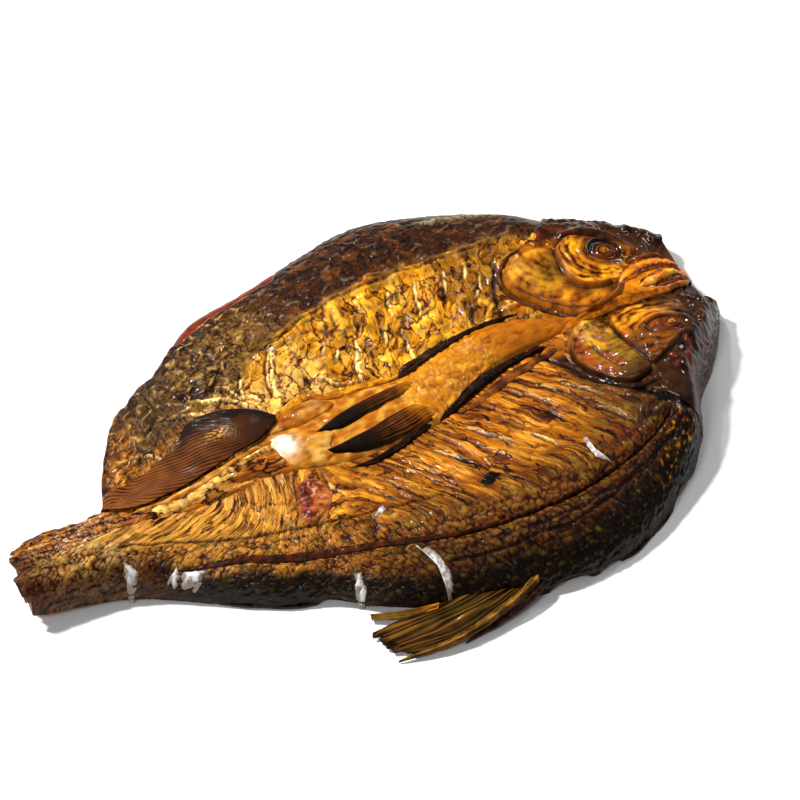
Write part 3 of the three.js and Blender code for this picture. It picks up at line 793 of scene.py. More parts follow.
def flake_relief(flakes, x, y):
    """Height, paleness and darkness of the curled flakes."""
    height = np.zeros(x.shape)
    pale = np.zeros(x.shape)
    dark = np.zeros(x.shape)
    wx = x + 0.7 * mottle(x, y, 3.5, 15) + 0.3 * mottle(x, y, 1.3, 17)
    wy = y + 0.7 * mottle(x, y, 3.5, 16)
    for path, width, tall in flakes:
        gap, share = beside(path, wx, wy)
        body = np.sqrt(np.clip(4 * share * (1 - share), 0, 1)) * (np.abs(gap) < 6)
        half = 0.42 * width * body + 0.05
        leaf = smooth(gap, -half, -half + 0.35) * (1 - smooth(gap, 0.5 * half, 1.3 * half + 0.3)) * body
        crack = bump(gap + half + 0.4, 0.42) * body
        height += 0.8 * tall * leaf - 0.5 * tall * crack
        pale = np.maximum(pale, leaf)
        dark = np.maximum(dark, crack)
    return height, pale, dark


def crack_relief(cracks, x, y):
    dark = np.zeros(x.shape)
    wx = x + 1.2 * mottle(x, y, 4, 18)
    wy = y + 1.2 * mottle(x, y, 4, 19)
    for path, width in cracks:
        gap, share = beside(path, wx, wy)
        dark = np.maximum(dark, bump(gap, width) * np.clip(6 * share * (1 - share), 0, 1))
    return dark


# The near flank, which ends towards the head at the recess behind the gill cover
NEAR_SKIN_END = 110.0
NEAR_REAR = [
    (57, -14), (58.6, -22.5), (62, -31), (65, -40), (68, -48), (73, -55), (77, -62), (82, -70), (88, -77),
]


def near_flow(x, y):
    off_lateral = y - lateral_line(x)
    warp = 2.4 * mottle(x, y, 26, 1) + 0.8 * mottle(x, y, 8, 2)
    tail = smooth(x + 0.3 * y, -50, -110)
    bend = 7 * smooth(off_lateral, 16, 0)
    across = mix(0.88 * x + 0.47 * y + bend, 1.6 * y - 0.5 * x, tail)
    down = mix(0.47 * x - 0.88 * y, x, tail)
    return across + warp, down


def near_relief(x, y):
    off_lateral = y - lateral_line(x)
    a, c = near_flow(x, y)
    middle = smooth(off_lateral + 3 * mottle(x, y, 8, 28), 6, 16)
    ridge = grain(a / 2.8, c / 26, 3)
    ridge_2 = grain(a / 1.5, c / 14, 6)
    cell = pockets(x / 3.6 + 0.4 * mottle(x, y, 7, 5), off_lateral / 3.1 + 0.3 * mottle(x, y, 5, 4), 1)
    rough = mottle(x, y, 1.5, 12)
    swell = grain(x / 7, y / 4, 13)
    outer = 0.26 * (smooth(cell, 0, 0.5) - 0.6) + 0.12 * rough + 0.45 * swell
    height = mix(outer, 0.42 * ridge + 0.2 * ridge_2 + 0.06 * rough, middle)
    flake, pale, dark = flake_relief(NEAR_FLAKES, x, y)
    septum = beside(SEPTUM, x, y + 0.8 * mottle(x, y, 6, 20))[0]
    second = bump(y - black_border(x) - 4 - mottle(x, y, 9, 24), 0.6) * between(x, -30, 60, 10)
    second = np.maximum(second, 0.8 * bump(off_lateral + 7 + 1.4 * mottle(x, y, 9, 26), 0.55)
                        * between(x, 10, 84, 12))
    # The recess behind the gill cover: sunk into the skin, and given painted shade in near_looks
    recess = bump(beside(NEAR_REAR, x, y, 14)[0], 2.4)
    scab = np.abs(x - 0.4 * (y + 69)) / 4.6 + np.abs(y + 69) / 3.4
    scab = smooth(scab + 0.3 * mottle(x, y, 2, 27), 1.1, 0.8)
    height += flake - 0.9 * bump(septum, 0.6) - 0.7 * second - 0.9 * recess + 0.3 * scab
    shade_middle = 0.5 * ridge + 0.4 * ridge_2
    shade_outer = 0.36 * smooth(cell, 0, 0.5) - 0.36 + 0.2 * rough + 0.45 * swell
    shade = mix(shade_outer, shade_middle, middle) - 0.9 * second - 0.6 * recess - 1.2 * scab
    tail = smooth(x, -110, -140)
    lines = np.clip(0.25 + 0.75 * middle - 0.3 * tail, 0, 1)
    nets = 0.34 * (1 - middle)
    return {"height": height, "shade": shade, "flow": (a, c), "marks": (lines, nets), "pale": pale,
            "dark": np.maximum(dark, bump(septum, 0.65)), "cell": smooth(cell, 0.35, 0.8) * (1 - middle),
            "recess": recess, "scab": scab, "crest": bump(ridge - 0.35, 0.12) * middle}


def near_looks(u, t, x, y):
    y = down_wall(x, y)
    parts = near_relief(x, y)
    off_lateral = y - lateral_line(x)
    uneven = 5 * mottle(x, y, 15, 21) + 3 * mottle(x, y, 6, 22)
    off_black = y - black_border(x) + 0.4 * uneven
    headward = x - 0.35 * (y + 50) + 1.5 * uneven
    tint = paint(
        x, AMBER,
        (GOLD, 0.12 + 0.5 * mottle(x, y, 9, 23)),
        (ORANGE, 0.5 * smooth(off_lateral + uneven, 28, 44) * smooth(x, -20, 20)),
        (BROWN, 0.34 * smooth(x, -60, -30)),
        (STRAW, 0.4 * smooth(x + 2 * uneven, -30, -100)),
        (STRAW, 0.6 * smooth(x + uneven, -120, -145)),
        (BROWN, 0.6 * smooth(grain(x / 5, y / 4, 9), 0, 0.6)),
        (BROWN, 0.9 * smooth(off_lateral + uneven, 28, 6) * smooth(x, -90, -20)),
        (OLIVE, 0.7 * smooth(off_lateral + uneven, 28, 8) * patches(x, y, 5, 25, 0, 0.5)),
        # Darker towards the head on the near, lower side: partly the skin's own dark brown, partly painted
        # shade where the light falls off
        (BROWN, 0.85 * smooth(headward, 44, 66)),
        (BARK, 0.8 * smooth(headward, 66, 88)),
        (OLIVE, 0.7 * smooth(headward, 46, 66) * patches(x, y, 4, 57, 0.15, 0.5)),
        (BARK, 0.65 * smooth(off_lateral + 0.5 * uneven, 3, -8) * smooth(x, -100, -30)),
        (STRAW, 0.12 * parts["cell"] * smooth(off_black, -2, 8) * smooth(x, 50, -10)),
        (SOOT, 0.94 * smooth(off_black, 2.5, -3) * smooth(x, -165, -125)),
        (BARK, 0.8 * smooth(off_black, 2.5, -3) * smooth(x, -125, -165)),
        (OLIVE, 0.4 * parts["cell"] * smooth(off_black, 2, -3) * patches(x, y, 4, 58, 0, 0.4)),
        # Painted glints: gold flecks on the dark rim towards the head
        (GOLD, 0.8 * patches(x, y, 2.2, 29, 0.3, 0.5) * smooth(x, 52, 72) * between(off_black, -9, 3, 3)),
        (SOOT, 0.6 * between(x, -140, -84, 14) * smooth(off_lateral + uneven, -3, -9)),
        (RUST, 0.5 * oval(x, y, (-63, -41, 9, 10))),
        (SOOT, 0.9 * parts["scab"]),
        (RUST, 0.9 * oval(x, y, (57, -75, 3.4, 3), 0.9)),
        (ASH, 0.75 * smooth(x + uneven, -132, -150) * tail_cells(x, y) * patches(x, y, 5, 38, -0.5, 0.1)),
        (BROWN, 0.7 * smooth(y + 0.1 * x, -45, -50) * smooth(x, -120, -134)),
        (RUSSET, 0.85 * smooth(x + uneven, TAIL_X + 16, TAIL_X + 5)),
        # Painted shade in the recess behind the gill cover
        (SOOT, 0.85 * parts["recess"]),
        # Painted highlight along the crests of the ridges
        (HONEY, 0.3 * parts["crest"] * smooth(headward, 70, 50)),
        (CREAM, 0.4 * parts["pale"]),
        (SOOT, 0.8 * parts["dark"]))
    return dress(tint, parts["shade"], parts["flow"], parts["marks"])


def near_surface(u, t):
    x = mix(TAIL_X, NEAR_SKIN_END, u)
    edge = near_edge(x) + edge_wave(x)
    y = mix(edge, lower_groove(x) + 1.2, rows_to_rim(t))
    outward = down_wall(x, y)
    relief = near_relief(x, outward)["height"]
    z = skin(x, np.minimum(y, lower_groove(x))) + relief * smooth(y - edge, -1, 2) - 2.2 * smooth(t, 0.97, 1)
    wall = smooth(y - edge, 7, 1) * smooth(y - edge, 0, 0.6)
    lumps = (0.35 + 0.5 * grain(x / 4, outward / 3, 141) + 0.3 * grain(x / 1.8, outward / 1.6, 142)) * wall
    return ragged_ends(x, y), y + lumps, z - 1.6 * smooth(x, 86, 96)


# The far flank
FAR_SKIN_END = 112.0
# A fold along the far edge, which carries a painted reflection
FAR_SHEEN = [(56, 76), (70, 71.5), (84, 63), (97, 53)]


def far_skin_edge(x):
    return far_edge(x) - edge_wave(x) - 6.4 * between(x, -62, -16, 9)


def far_flow(x, y):
    warp = 4 * mottle(x, y, 22, 31) + 1.5 * mottle(x, y, 7, 32)
    tail = smooth(x, -80, -110)
    across = mix(0.9 * x - 0.43 * y, 1.2 * y - 0.4 * x, tail)
    down = mix(0.43 * x + 0.9 * y, x, tail)
    return across + warp, down


def far_relief(x, y):
    off_ridge = y - ridge_line(x)
    a, c = far_flow(x, y)
    back = smooth(off_ridge + 3 * mottle(x, y, 9, 33), -3, 3) * between(x, -100, 80, 20)
    left = smooth(x - 0.4 * y + 4 * mottle(x, y, 9, 36), -50, -78)
    rough = mottle(x, y, 1.4, 50)
    blotch = mottle(x, y, 3, 34)
    level = grain(a / 4.4, c / 9, 40)
    level_2 = grain(a / 2.1 + level, c / 4.5, 48)
    middle = 0.5 * level + 0.24 * level_2 - 0.35 * bump(level - 0.05, 0.14) + 0.07 * rough
    swirl_x = x / 4 + 0.9 * mottle(x, y, 6, 43)
    swirl_y = y / 3.2 + 0.9 * mottle(x, y, 7, 44)
    fold = grain(swirl_x, swirl_y, 45)
    fold_2 = grain(swirl_x * 2.1, swirl_y * 2.1, 46)
    fold_3 = grain(swirl_x * 3.9 + fold, swirl_y * 3.9, 49)
    outer = 0.75 * fold + 0.32 * fold_2 + 0.2 * fold_3 - 0.15 * bump(fold + 0.1, 0.2) + 0.06 * rough
    crumpled = np.maximum(back, left)
    height = mix(middle, outer * mix(0.5, 1.0, left), crumpled)
    ridge_pair = bump(off_ridge - 1.2, 0.6) - 0.8 * bump(off_ridge + 0.4, 0.5)
    ridge_pair += 0.6 * bump(off_ridge + 2.2, 0.7)
    ridge_pair *= between(x, -34, 64, 10)
    sheen = bump(beside(FAR_SHEEN, x, y + mottle(x, y, 5, 41), 9)[0], 2.4)
    height += 0.5 * ridge_pair + 0.9 * sheen
    flake, pale, dark = flake_relief(FAR_FLAKES, x, y)
    cracks = crack_relief(FAR_CRACKS, x, y)
    height += flake - 0.8 * cracks
    shade_middle = 0.1 + 0.2 * level + 0.22 * level_2 - 0.5 * bump(level - 0.05, 0.12) + 0.2 * blotch
    shade_outer = 0.4 * fold + 0.4 * fold_2 + 0.3 * fold_3 - 0.25 * bump(fold + 0.1, 0.2) + 0.1 * rough
    shade = mix(shade_middle, shade_outer * mix(0.6, 1.0, left), crumpled) + 0.5 * ridge_pair
    marks = (0.6 + 0.4 * (1 - back), 0.2 * back + 0.12 * left)
    lip = smooth(mix(level + 0.4 * level_2, fold + 0.4 * fold_2, crumpled), 0.4, 0.75)
    return {"height": height, "shade": shade, "flow": (a, c), "marks": marks, "pale": pale,
            "dark": np.maximum(dark, cracks), "back": back, "left": left, "lip": lip, "sheen": sheen}


def far_looks(u, t, x, y):
    parts = far_relief(x, y)
    uneven = 4 * mottle(x, y, 13, 51) + 2.5 * mottle(x, y, 5, 52)
    off_ridge = y - ridge_line(x) + uneven
    to_edge = far_skin_edge(x) - y + 0.4 * uneven
    tint = paint(
        x, GOLD,
        (AMBER, 0.6 * patches(x, y, 7, 57, 0, 0.5)),
        (HONEY, 0.35 * patches(x, y, 9, 53, -0.05, 0.4)),
        (OLIVE, 0.5 * patches(x, y, 6, 54, 0.05, 0.5)),
        (STRAW, 0.85 * between(x + 2 * uneven, -72, -30, 10) * smooth(off_ridge, -4, -20)),
        (AMBER, 0.7 * smooth(x + uneven, -84, -104)),
        (BROWN, 0.7 * patches(x, y, 5, 58, 0, 0.5) * smooth(x + uneven, -84, -104)),
        (BROWN, 0.6 * between(x + uneven, 46, 76, 10)),
        (SLATE, 0.9 * smooth(off_ridge, -4, 2) * smooth(x, -122, -98)),
        (SLATE, 0.75 * between(x + uneven, -96, -60, 8) * smooth(off_ridge, -17, -6)),
        (BARK, 0.4 * parts["left"] * patches(x, y, 6, 37, 0, 0.4) * smooth(off_ridge, -12, 0)),
        (BROWN, 0.95 * smooth(x + uneven, -50, -14) * smooth(off_ridge, 0, 4)),
        (BARK, 0.95 * patches(x, y, 7, 55, -0.7, 0.1) * smooth(x, -50, -10) * smooth(off_ridge, 1, 8)),
        (BARK, 0.75 * smooth(to_edge, 12, 3)),
        (BARK, 0.9 * smooth(x + 0.3 * uneven, 80, 92) * smooth(y + 0.3 * uneven, 34, 42)),
        (BLOOD, 0.9 * oval(x, y, (-79, 37, 10, 4))),
        (ORANGE, 0.85 * oval(x, y, (16, 55, 2.4, 2), 0.9)),
        # Painted highlights on the crests of the wrinkles
        (STRAW, 0.5 * parts["lip"] * parts["left"]),
        (ASH, 0.2 * parts["lip"] * parts["back"]),
        (HONEY, 0.5 * parts["lip"] * (1 - parts["back"]) * (1 - parts["left"])),
        # Painted reflection: a pale band along the fold by the far edge
        (ASH, 0.75 * parts["sheen"]),
        (CREAM, 0.85 * parts["pale"] * (1 - 0.7 * parts["back"])),
        (SOOT, 0.9 * parts["dark"]),
        (ORANGE, 0.6 * smooth(to_edge, 1.3, 0.3) * patches(x, y, 12, 56, -0.3, 0.2)))
    return dress(tint, parts["shade"], parts["flow"], parts["marks"])


def far_surface(u, t):
    x = mix(TAIL_X, FAR_SKIN_END, u)
    y = mix(upper_groove(x) - 1.2, far_skin_edge(x), t)
    relief = far_relief(x, y)["height"]
    flat = np.maximum(y, upper_groove(x))
    inward = far_skin_edge(x) - y
    z = skin(x, flat) + relief * smooth(inward, -1, 3) - 2.2 * smooth(t, 0.03, 0)
    z += 0.5 * bump(inward - 1.2, 1.0) * smooth(grain(x / 6, 0 * x, 47), -0.3, 0.4)
    inset = (0.5 + 0.7 * grain(x / 3.2, 0 * x + 0.5, 42)) * smooth(inward, 4, 0)
    return ragged_ends(x, y), y - inset, z - 1.6 * smooth(x, 90, 98)


# The strip of belly between the flanks, in line with the throat and the sheath of the anal fin
STRIP_END = 92.0
anal_base = through([
    (-181, -22), (-138, -14.5), (-131, -14.8), (-120, -16), (-111.5, -14.4), (-104, -13.7), (-96, -12.4),
    (-87, -10.1), (-80, -7.3), (-71, -4.2), (-63, -4.2), (-50, -4),
])


def tail_cells(x, y):
    """The pale scales that are left on the tail stalk."""
    return smooth(pockets(x / 2.1, y / 1.7, 5), 0.25, 0.7)


def strip_relief(x, y):
    belly = between(x, 0, 36, 12)
    below = anal_base(x) - y
    sheath = between(x, -122, -62, 6) * between(below, 0.3, 7.2, 1.4)
    streaky = smooth(x, -58, -68) * (1 - sheath)
    blister = pockets(x / 3.1 + 0.8 * mottle(x, y, 6, 61), y / 2.6 + 0.8 * mottle(x, y, 6, 62), 3)
    blocks = pockets(x / 3.4 + 0.5 * mottle(x, y, 4, 59), below / 3.4, 4)
    ridge = grain(y / 1.6, x / 12, 63)
    soft = grain(x / 5, y / 4, 65)
    height = belly * 0.6 * (smooth(blister, 0, 0.9) - 0.5) + sheath * 0.16 * (smooth(blocks, 0, 0.5) - 0.6)
    height += 0.3 * ridge * (0.2 + streaky) + 0.35 * soft + 0.06 * mottle(x, y, 1.3, 66)
    block_shade = 0.15 * smooth(blocks, 0, 0.45) - 0.2 + 0.6 * grain(x / 1.6, y / 6, 64)
    shade = 0.4 * belly * (blister - 0.4) + sheath * block_shade
    shade += 0.5 * ridge * (0.2 + 0.8 * streaky) + 0.3 * soft
    return height, shade, sheath, streaky


def strip_surface(u, t):
    x = mix(TAIL_X, STRIP_END, u)
    y = mix(lower_groove(x) - 0.6, upper_groove(x) + 0.6, t)
    relief = strip_relief(x, y)[0]
    rim = smooth(np.minimum(t, 1 - t), 0, 0.08)
    z = skin(x, y) + relief * rim + 0.7 * rim - 0.7 - 1.5 * smooth(x, STRIP_END - 10, STRIP_END)
    return ragged_ends(x, y), y, z


def strip_looks(u, t, x, y):
    _, shade, sheath, streaky = strip_relief(x, y)
    uneven = 3 * mottle(x, y, 11, 67)
    tint = paint(
        x, linear("#9c5606"),
        (GOLD, 0.4 * between(x + 2 * uneven, 0, 38, 10)),
        (HONEY, 0.35 * between(x + 2 * uneven, -6, 34, 8) * patches(x, y, 4, 68, 0, 0.5)),
        (AMBER, 0.6 * patches(x, y, 8, 69, 0.1, 0.5)),
        (HONEY, 0.5 * between(x + uneven, -52, -4, 6) * patches(x, y, 5, 39, -0.2, 0.4)),
        (AMBER, 0.6 * smooth(x + uneven, -58, -70)),
        (STRAW, 0.5 * streaky * smooth(grain(y / 2, x / 14, 67), -0.1, 0.4)),
        (BROWN, 0.6 * streaky * smooth(grain(y / 2, x / 14, 68), 0.1, 0.5)),
        (ASH, 0.7 * smooth(x + uneven, -124, -146) * tail_cells(x, y)),
        (BROWN, 0.5 * smooth(x + uneven, -128, -150) * smooth(grain(x / 6, y / 4, 60), 0, 0.4)),
        (STRAW, 0.75 * sheath),
        # Painted highlights: cream patches on the sheath's crinkles
        (CREAM, 0.4 * sheath * smooth(grain(x / 3, y / 4, 70), 0, 0.5)),
        (BROWN, 0.7 * bump(anal_base(x) - y - 7.2, 0.8) * between(x, -118, -66, 6)),
        (RUST, 0.85 * oval(x, y, (-131, -18, 8, 4))),
        (RUSSET, 0.85 * smooth(x + uneven, TAIL_X + 16, TAIL_X + 5)),
        # Painted shade along both edges of the strip, in the grooves beside it
        (BARK, 0.6 * smooth(np.minimum(t, 1 - t), 0.09, 0.02) * smooth(x, -66, -50)))
    tail = smooth(x, -126, -142)
    marks = (0.8 * streaky * (1 - 0.3 * tail) + 0.7 * sheath, 0.5 * tail)
    return dress(tint, shade, (y, x), marks)


# The flesh under the skin, which shows along the rim and underneath
def flesh_looks(u, t, x, y):
    from_middle = y - 0.5 * (lower_groove(x) + upper_groove(x))
    chevron = x + 0.55 * np.abs(from_middle) + 2 * mottle(x, y, 12, 73)
    strip = smooth(far_edge(x) - y, 14, 8) * between(x, -66, -10, 6)
    tint = paint(
        x, AMBER,
        (RUST, 0.55 + 0.5 * mottle(x, y, 12, 71)),
        (BARK, 0.5 * patches(x, y, 8, 72, 0.1, 0.6)),
        (linear("#6e2407"), strip),
        (linear("#3a0e05"), 0.7 * strip * patches(x, y, 4, 77, -0.1, 0.3)),
        (STRAW, 0.35 * bump(from_middle, 16) * smooth(x, 96, 80)),
        (SOOT, 0.9 * smooth(y - near_edge(x), 7, 3)),
        (SOOT, 0.85 * smooth(x, SNOUT_X - 16, SNOUT_X - 4) * (1 - 0.4 * between(y, -14, 6, 3))))
    relief = (0.7 * np.sin(chevron / 1.15) + 0.4 * mottle(x, y, 2, 74)) * (1 - 0.8 * strip)
    return dress(tint, relief, (chevron, y))


def flesh_row(u):
    """Where a row of the flesh lies along the fish, and its near and far ends."""
    x = mix(TAIL_X + 1.2, SNOUT_X - 1.5, u)
    return x, near_edge(x) + edge_wave(x) + 1.1, far_edge(x) - edge_wave(x) - 0.5


def flesh_top(u, t):
    x, near, far = flesh_row(u)
    y = mix(near, far, t)
    uneven = 0.25 * mottle(x, y, 5, 75) + 0.15 * grain(x / 2, y / 6, 76)
    raised = 1.0 * smooth(far_edge(x) - y, 8, 4) * between(x, -62, -14, 8)
    return ragged_ends(x, y), y, skin(x, y) - 1.7 + uneven + raised


def flesh_under(u, t):
    x, y, _ = flesh_top(u, t)
    flat_x, low, high = flesh_row(u)
    tuck = np.clip(UNDERSIDE_TUCK / (high - low), 0, 0.3)
    y = mix(y, (low + high) / 2, tuck)
    x = x + 2.0 * (u == 0) - 2.0 * (u == 1)
    looks = flesh_looks(u, t, x, y)
    hollow = 0.25 * (1 - looks["relief"]) * between(t, 0.05, 0.95, 0.04) * between(u, 0.02, 0.98, 0.02)
    return x, y, lift(flat_x) + hollow


def flesh():
    """Two grids joined round their rims: the top under the skin, and the underside that it rests on."""
    top, _ = laid_grid(190, 130, flesh_top, flesh_looks)
    under, _ = laid_grid(190, 130, flesh_under, flesh_looks)
    select_only(under, top)
    bpy.ops.object.join()
    to_mode("EDIT")
    bpy.ops.mesh.select_mode(type="EDGE")
    bpy.ops.mesh.select_all(action="SELECT")
    bpy.ops.mesh.region_to_loop()
    bpy.ops.mesh.bridge_edge_loops()
    to_mode("OBJECT")
    close_mesh()
    finish_piece(top, "flesh_and_underside", MEAT)


# The head: each half is one sculpted surface, with its bones standing off it by their outlines
FAR_GILL_COVER = [
    (65, 25.5), (70, 29.5), (76, 31), (90, 25), (92, 14), (96, 4), (102, -2), (104.5, -6), (98.5, -11),
    (92.5, -12.5), (85, -12), (79, -7), (74, 0), (69, 8), (65, 15.5), (63.8, 21),
]
FAR_LOWER_LOBE = [(66, 17), (70, 9), (75, 1), (80, -5), (86, -9), (94, -9.5), (101, -7)]
FAR_CHEEK = [
    (90, 24), (87, 14.5), (86.5, 6), (89, 1), (95, -2.5), (101, -3.5), (107, -2), (114, 1), (120, 4),
    (121, 12), (117, 20), (108, 25), (98, 28),
]
NEAR_GILL_COVER = [
    (67.5, -22), (72, -15), (77, -13), (82, -13.5), (86, -20), (86, -30), (86, -42), (85.7, -54), (81, -57.5),
    (75, -57), (70, -53), (67, -46), (64.5, -38), (64.5, -30),
]
NEAR_CHEEK = [
    (87, -26), (91, -17), (97, -17), (105, -18.3), (114, -19.6), (120, -23), (120, -30), (117, -38),
    (108, -45), (98, -50), (87, -53.5), (85.2, -45), (85.6, -35),
]
FAR_EYE = (110, 16)
NEAR_EYE = (106.5, -38)
FAR_HEAD_START = 58.0
NEAR_HEAD_START = 57.0
# Lumps of the skulls: place, size, height
FAR_LUMPS = [(128, 14, 4.5, 1.8), (135, 22, 4, 2.4), (139, 16, 3, 1.6), (131, 29, 4, 1.5), (122, 33, 5, 1.2)]
NEAR_LUMPS = [(138, -26, 3.5, 2.0), (96, -58, 5, 1.2), (104, -56, 4, 1.0), (122, -22, 4, 1.2)]
FAR_BROW = [(98, 30), (106, 30), (114, 26.5), (119.5, 20), (121, 13)]
NEAR_BROW = [(110, -47), (119, -42), (127, -34), (131, -26)]
NEAR_RED_ARC = [(72.7, -16), (69.6, -24), (67.6, -32), (67.6, -41), (70.5, -50)]
NEAR_SPLIT = [(74.5, -27), (72.6, -36), (74, -47)]
far_head_low = through([
    (58, 8), (63, 4.5), (70, -3), (76, -9), (85, -12.6), (92, -13), (98, -13), (106, -15), (116, -15.2),
    (128, -12), (142.5, -9),
])
far_head_high = through([
    (58, 9.5), (61, 20), (65, 28), (72, 33), (82, 36), (90, 40), (98, 46), (104, 56), (112, 70), (142.5, 100),
])
near_head_high = through([
    (57, -17), (62, -14), (70, -12), (80, -11.4), (88, -12), (97, -12.8), (106, -14.6), (116, -15),
    (128, -11.6), (142.5, -8.6),
])
near_head_low = through([
    (57, -18), (59, -24), (62, -32), (65, -41), (68, -49), (73, -56), (78, -62), (84, -70), (89, -79),
    (93, -90), (104, -130), (142.5, -200),
])


def bone(outline, x, y, step, dome):
    """Height of a bone that stands off the head, and the distance inside its outline."""
    depth = inside(outline, x, y)
    height = step * smooth(depth, -0.3, 1.1) + dome * rounded(np.clip(depth / 9.0, 0, 1), 2)
    return height - 0.5 * bump(depth + 0.7, 0.6), depth


def far_head_parts(x, y):
    cover, in_cover = bone(FAR_GILL_COVER, x, y, 1.6, 1.9)
    cheek, in_cheek = bone(FAR_CHEEK, x, y, 1.2, 0.8)
    lobe = beside(FAR_LOWER_LOBE, x, y, 30)[0]
    away = np.hypot(x - FAR_EYE[0], 1.12 * (y - FAR_EYE[1]))
    turn = np.arctan2(y - FAR_EYE[1], x - FAR_EYE[0])
    growth = np.hypot(x - 91, y - 25)
    height = cover + cheek * (1 - 0.8 * smooth(x, 104, 116))
    on_cover = smooth(in_cover, 0.5, 2) * (1 - smooth(in_cheek, -1.5, 0))
    height += on_cover * (0.3 * mottle(x, y, 6, 82) - 0.4 * bump(lobe, 0.6) + 0.14 * mottle(x, y, 3, 81))
    on_cheek = smooth(in_cheek, 0.3, 1.5)
    height += on_cheek * 0.35 * mottle(x, y, 4, 80) * smooth(away, 7, 9)
    height += 0.6 * bump(in_cheek - 1.1, 0.8) * (1 - smooth(x, 104, 112)) + 0.7 * bump(away - 7.6, 1.4)
    height += 0.5 * bump(away - 5.2, 0.6) - 0.9 * bump(away - 6.3, 0.7)
    brow = beside(FAR_BROW, x, y, 12)[0]
    skull = smooth(y + 0.6 * x, 92, 100)
    height += 2.4 * bump(brow, 2.6) + skull * (0.8 * mottle(x, y, 5, 83) + 0.45 * mottle(x, y, 2.4, 84))
    for lump_x, lump_y, size, tall in FAR_LUMPS:
        height += tall * bump(np.hypot(x - lump_x, y - lump_y), size)
    return height, in_cover, in_cheek, lobe, away, turn, growth, on_cover, on_cheek


def far_head_looks(u, t, x, y):
    _, in_cover, in_cheek, lobe, away, turn, growth, on_cover, on_cheek = far_head_parts(x, y)
    uneven = 2.5 * mottle(x, y, 7, 85)
    cloud = mottle(x, y, 6, 88)
    above = y + 0.55 * (x - 100)
    off_snout = y - 0.25 * (x - 110)
    tint = paint(
        x, AMBER,
        (BARK, 0.95 * smooth(above + uneven, 20, 27)),
        (SOOT, 0.4 * patches(x, y, 5, 86, -0.3, 0.3) * smooth(above, 24, 30)),
        (RUST, 0.6 * patches(x, y, 4, 78, 0, 0.4) * smooth(above, 24, 30)),
        (ORANGE, 0.9 * between(off_snout, -14, -1, 2) * smooth(x, 102, 108)),
        (AMBER, 0.8 * between(off_snout, -1, 6, 2) * smooth(x, 106, 114)),
        (BARK, 0.75 * bump(off_snout - 6.5, 1.4) * smooth(x, 114, 119)),
        (AMBER, 0.95 * on_cover),
        (GOLD, 0.8 * on_cover * smooth(cloud, -0.2, 0.4) * smooth(lobe, 0, 4)),
        (OLIVE, 0.8 * on_cover * oval(x, y, (82, 14, 9, 8), 1.0)),
        (HONEY, 0.4 * on_cover * oval(x, y, (72, 22, 4, 6), 1.0)),
        (ORANGE, 0.5 * on_cover * smooth(lobe, -0.5, -2.5) * smooth(x, 72, 84)),
        (BROWN, 0.8 * on_cover * smooth(in_cover, 3.4, 0.6)),
        (BARK, 0.8 * on_cover * bump(lobe, 0.45)),
        (BROWN, 0.7 * on_cover * smooth(in_cheek, -6, -1.5)),
        (AMBER, 0.95 * on_cheek),
        (GOLD, 0.9 * on_cheek * smooth(away, 10, 13) * smooth(cloud, -0.4, 0.2)),
        (RUST, 0.7 * on_cheek * smooth(in_cheek, 2.2, 0.8) * smooth(y, 12, 4)),
        (BROWN, 0.8 * on_cheek * smooth(away, 11.5, 8)),
        (BARK, 0.9 * bump(away - 6.6, 1.4)),
        (RUST, 0.6 * (1 - smooth(away, 4, 6))),
        (SOOT, 0.85 * smooth(away, 9.5, 7.8) * smooth(y - 0.4 * (x - 110), 17, 20)),
        (BARK, 0.8 * smooth(y + 0.75 * (x - 100) + uneven, 33, 37) * smooth(y, 4, 12)),
        (BARK, 0.85 * bump(in_cover + 0.7, 0.6) * (1 - on_cheek) * smooth(x, 98, 90)),
        (BARK, 0.85 * bump(in_cheek + 0.4, 0.6) * smooth(x, 114, 106)))
    relief = 0.45 * cloud + 0.3 * mottle(x, y, 2.4, 90) + 0.12 * grain(x, y, 79)
    relief += 0.12 * np.sin(growth * 1.9 + 1.6 * cloud) * on_cover
    relief += 0.3 * np.sin(away * 1.8 + 2.6 * mottle(x, y, 5, 82)) * on_cheek * smooth(away, 7, 9)
    a = mix(mix(x, growth, on_cover), away, on_cheek)
    c = mix(mix(4 * y, 9 * np.arctan2(y - 25, x - 91), on_cover), 9 * turn, on_cheek)
    return dress(tint, relief, (a, c), (0.15 + 0.25 * on_cheek, 0 * x))


def far_head_surface(u, t):
    x = mix(FAR_HEAD_START, SNOUT_X, u)
    high = np.minimum(far_head_high(x), far_edge(x))
    y = mix(far_head_low(x), high, t)
    height = far_head_parts(x, y)[0]
    off_high = np.where(far_head_high(x) < far_edge(x), high - y, 9)
    rim = smooth(np.minimum(y - far_head_low(x), off_high), 0, 1.5)
    rim *= smooth(x, FAR_HEAD_START, FAR_HEAD_START + 2)
    return ragged_ends(x, y), y, skin(x, y) + (height + 0.5) * rim - 0.5


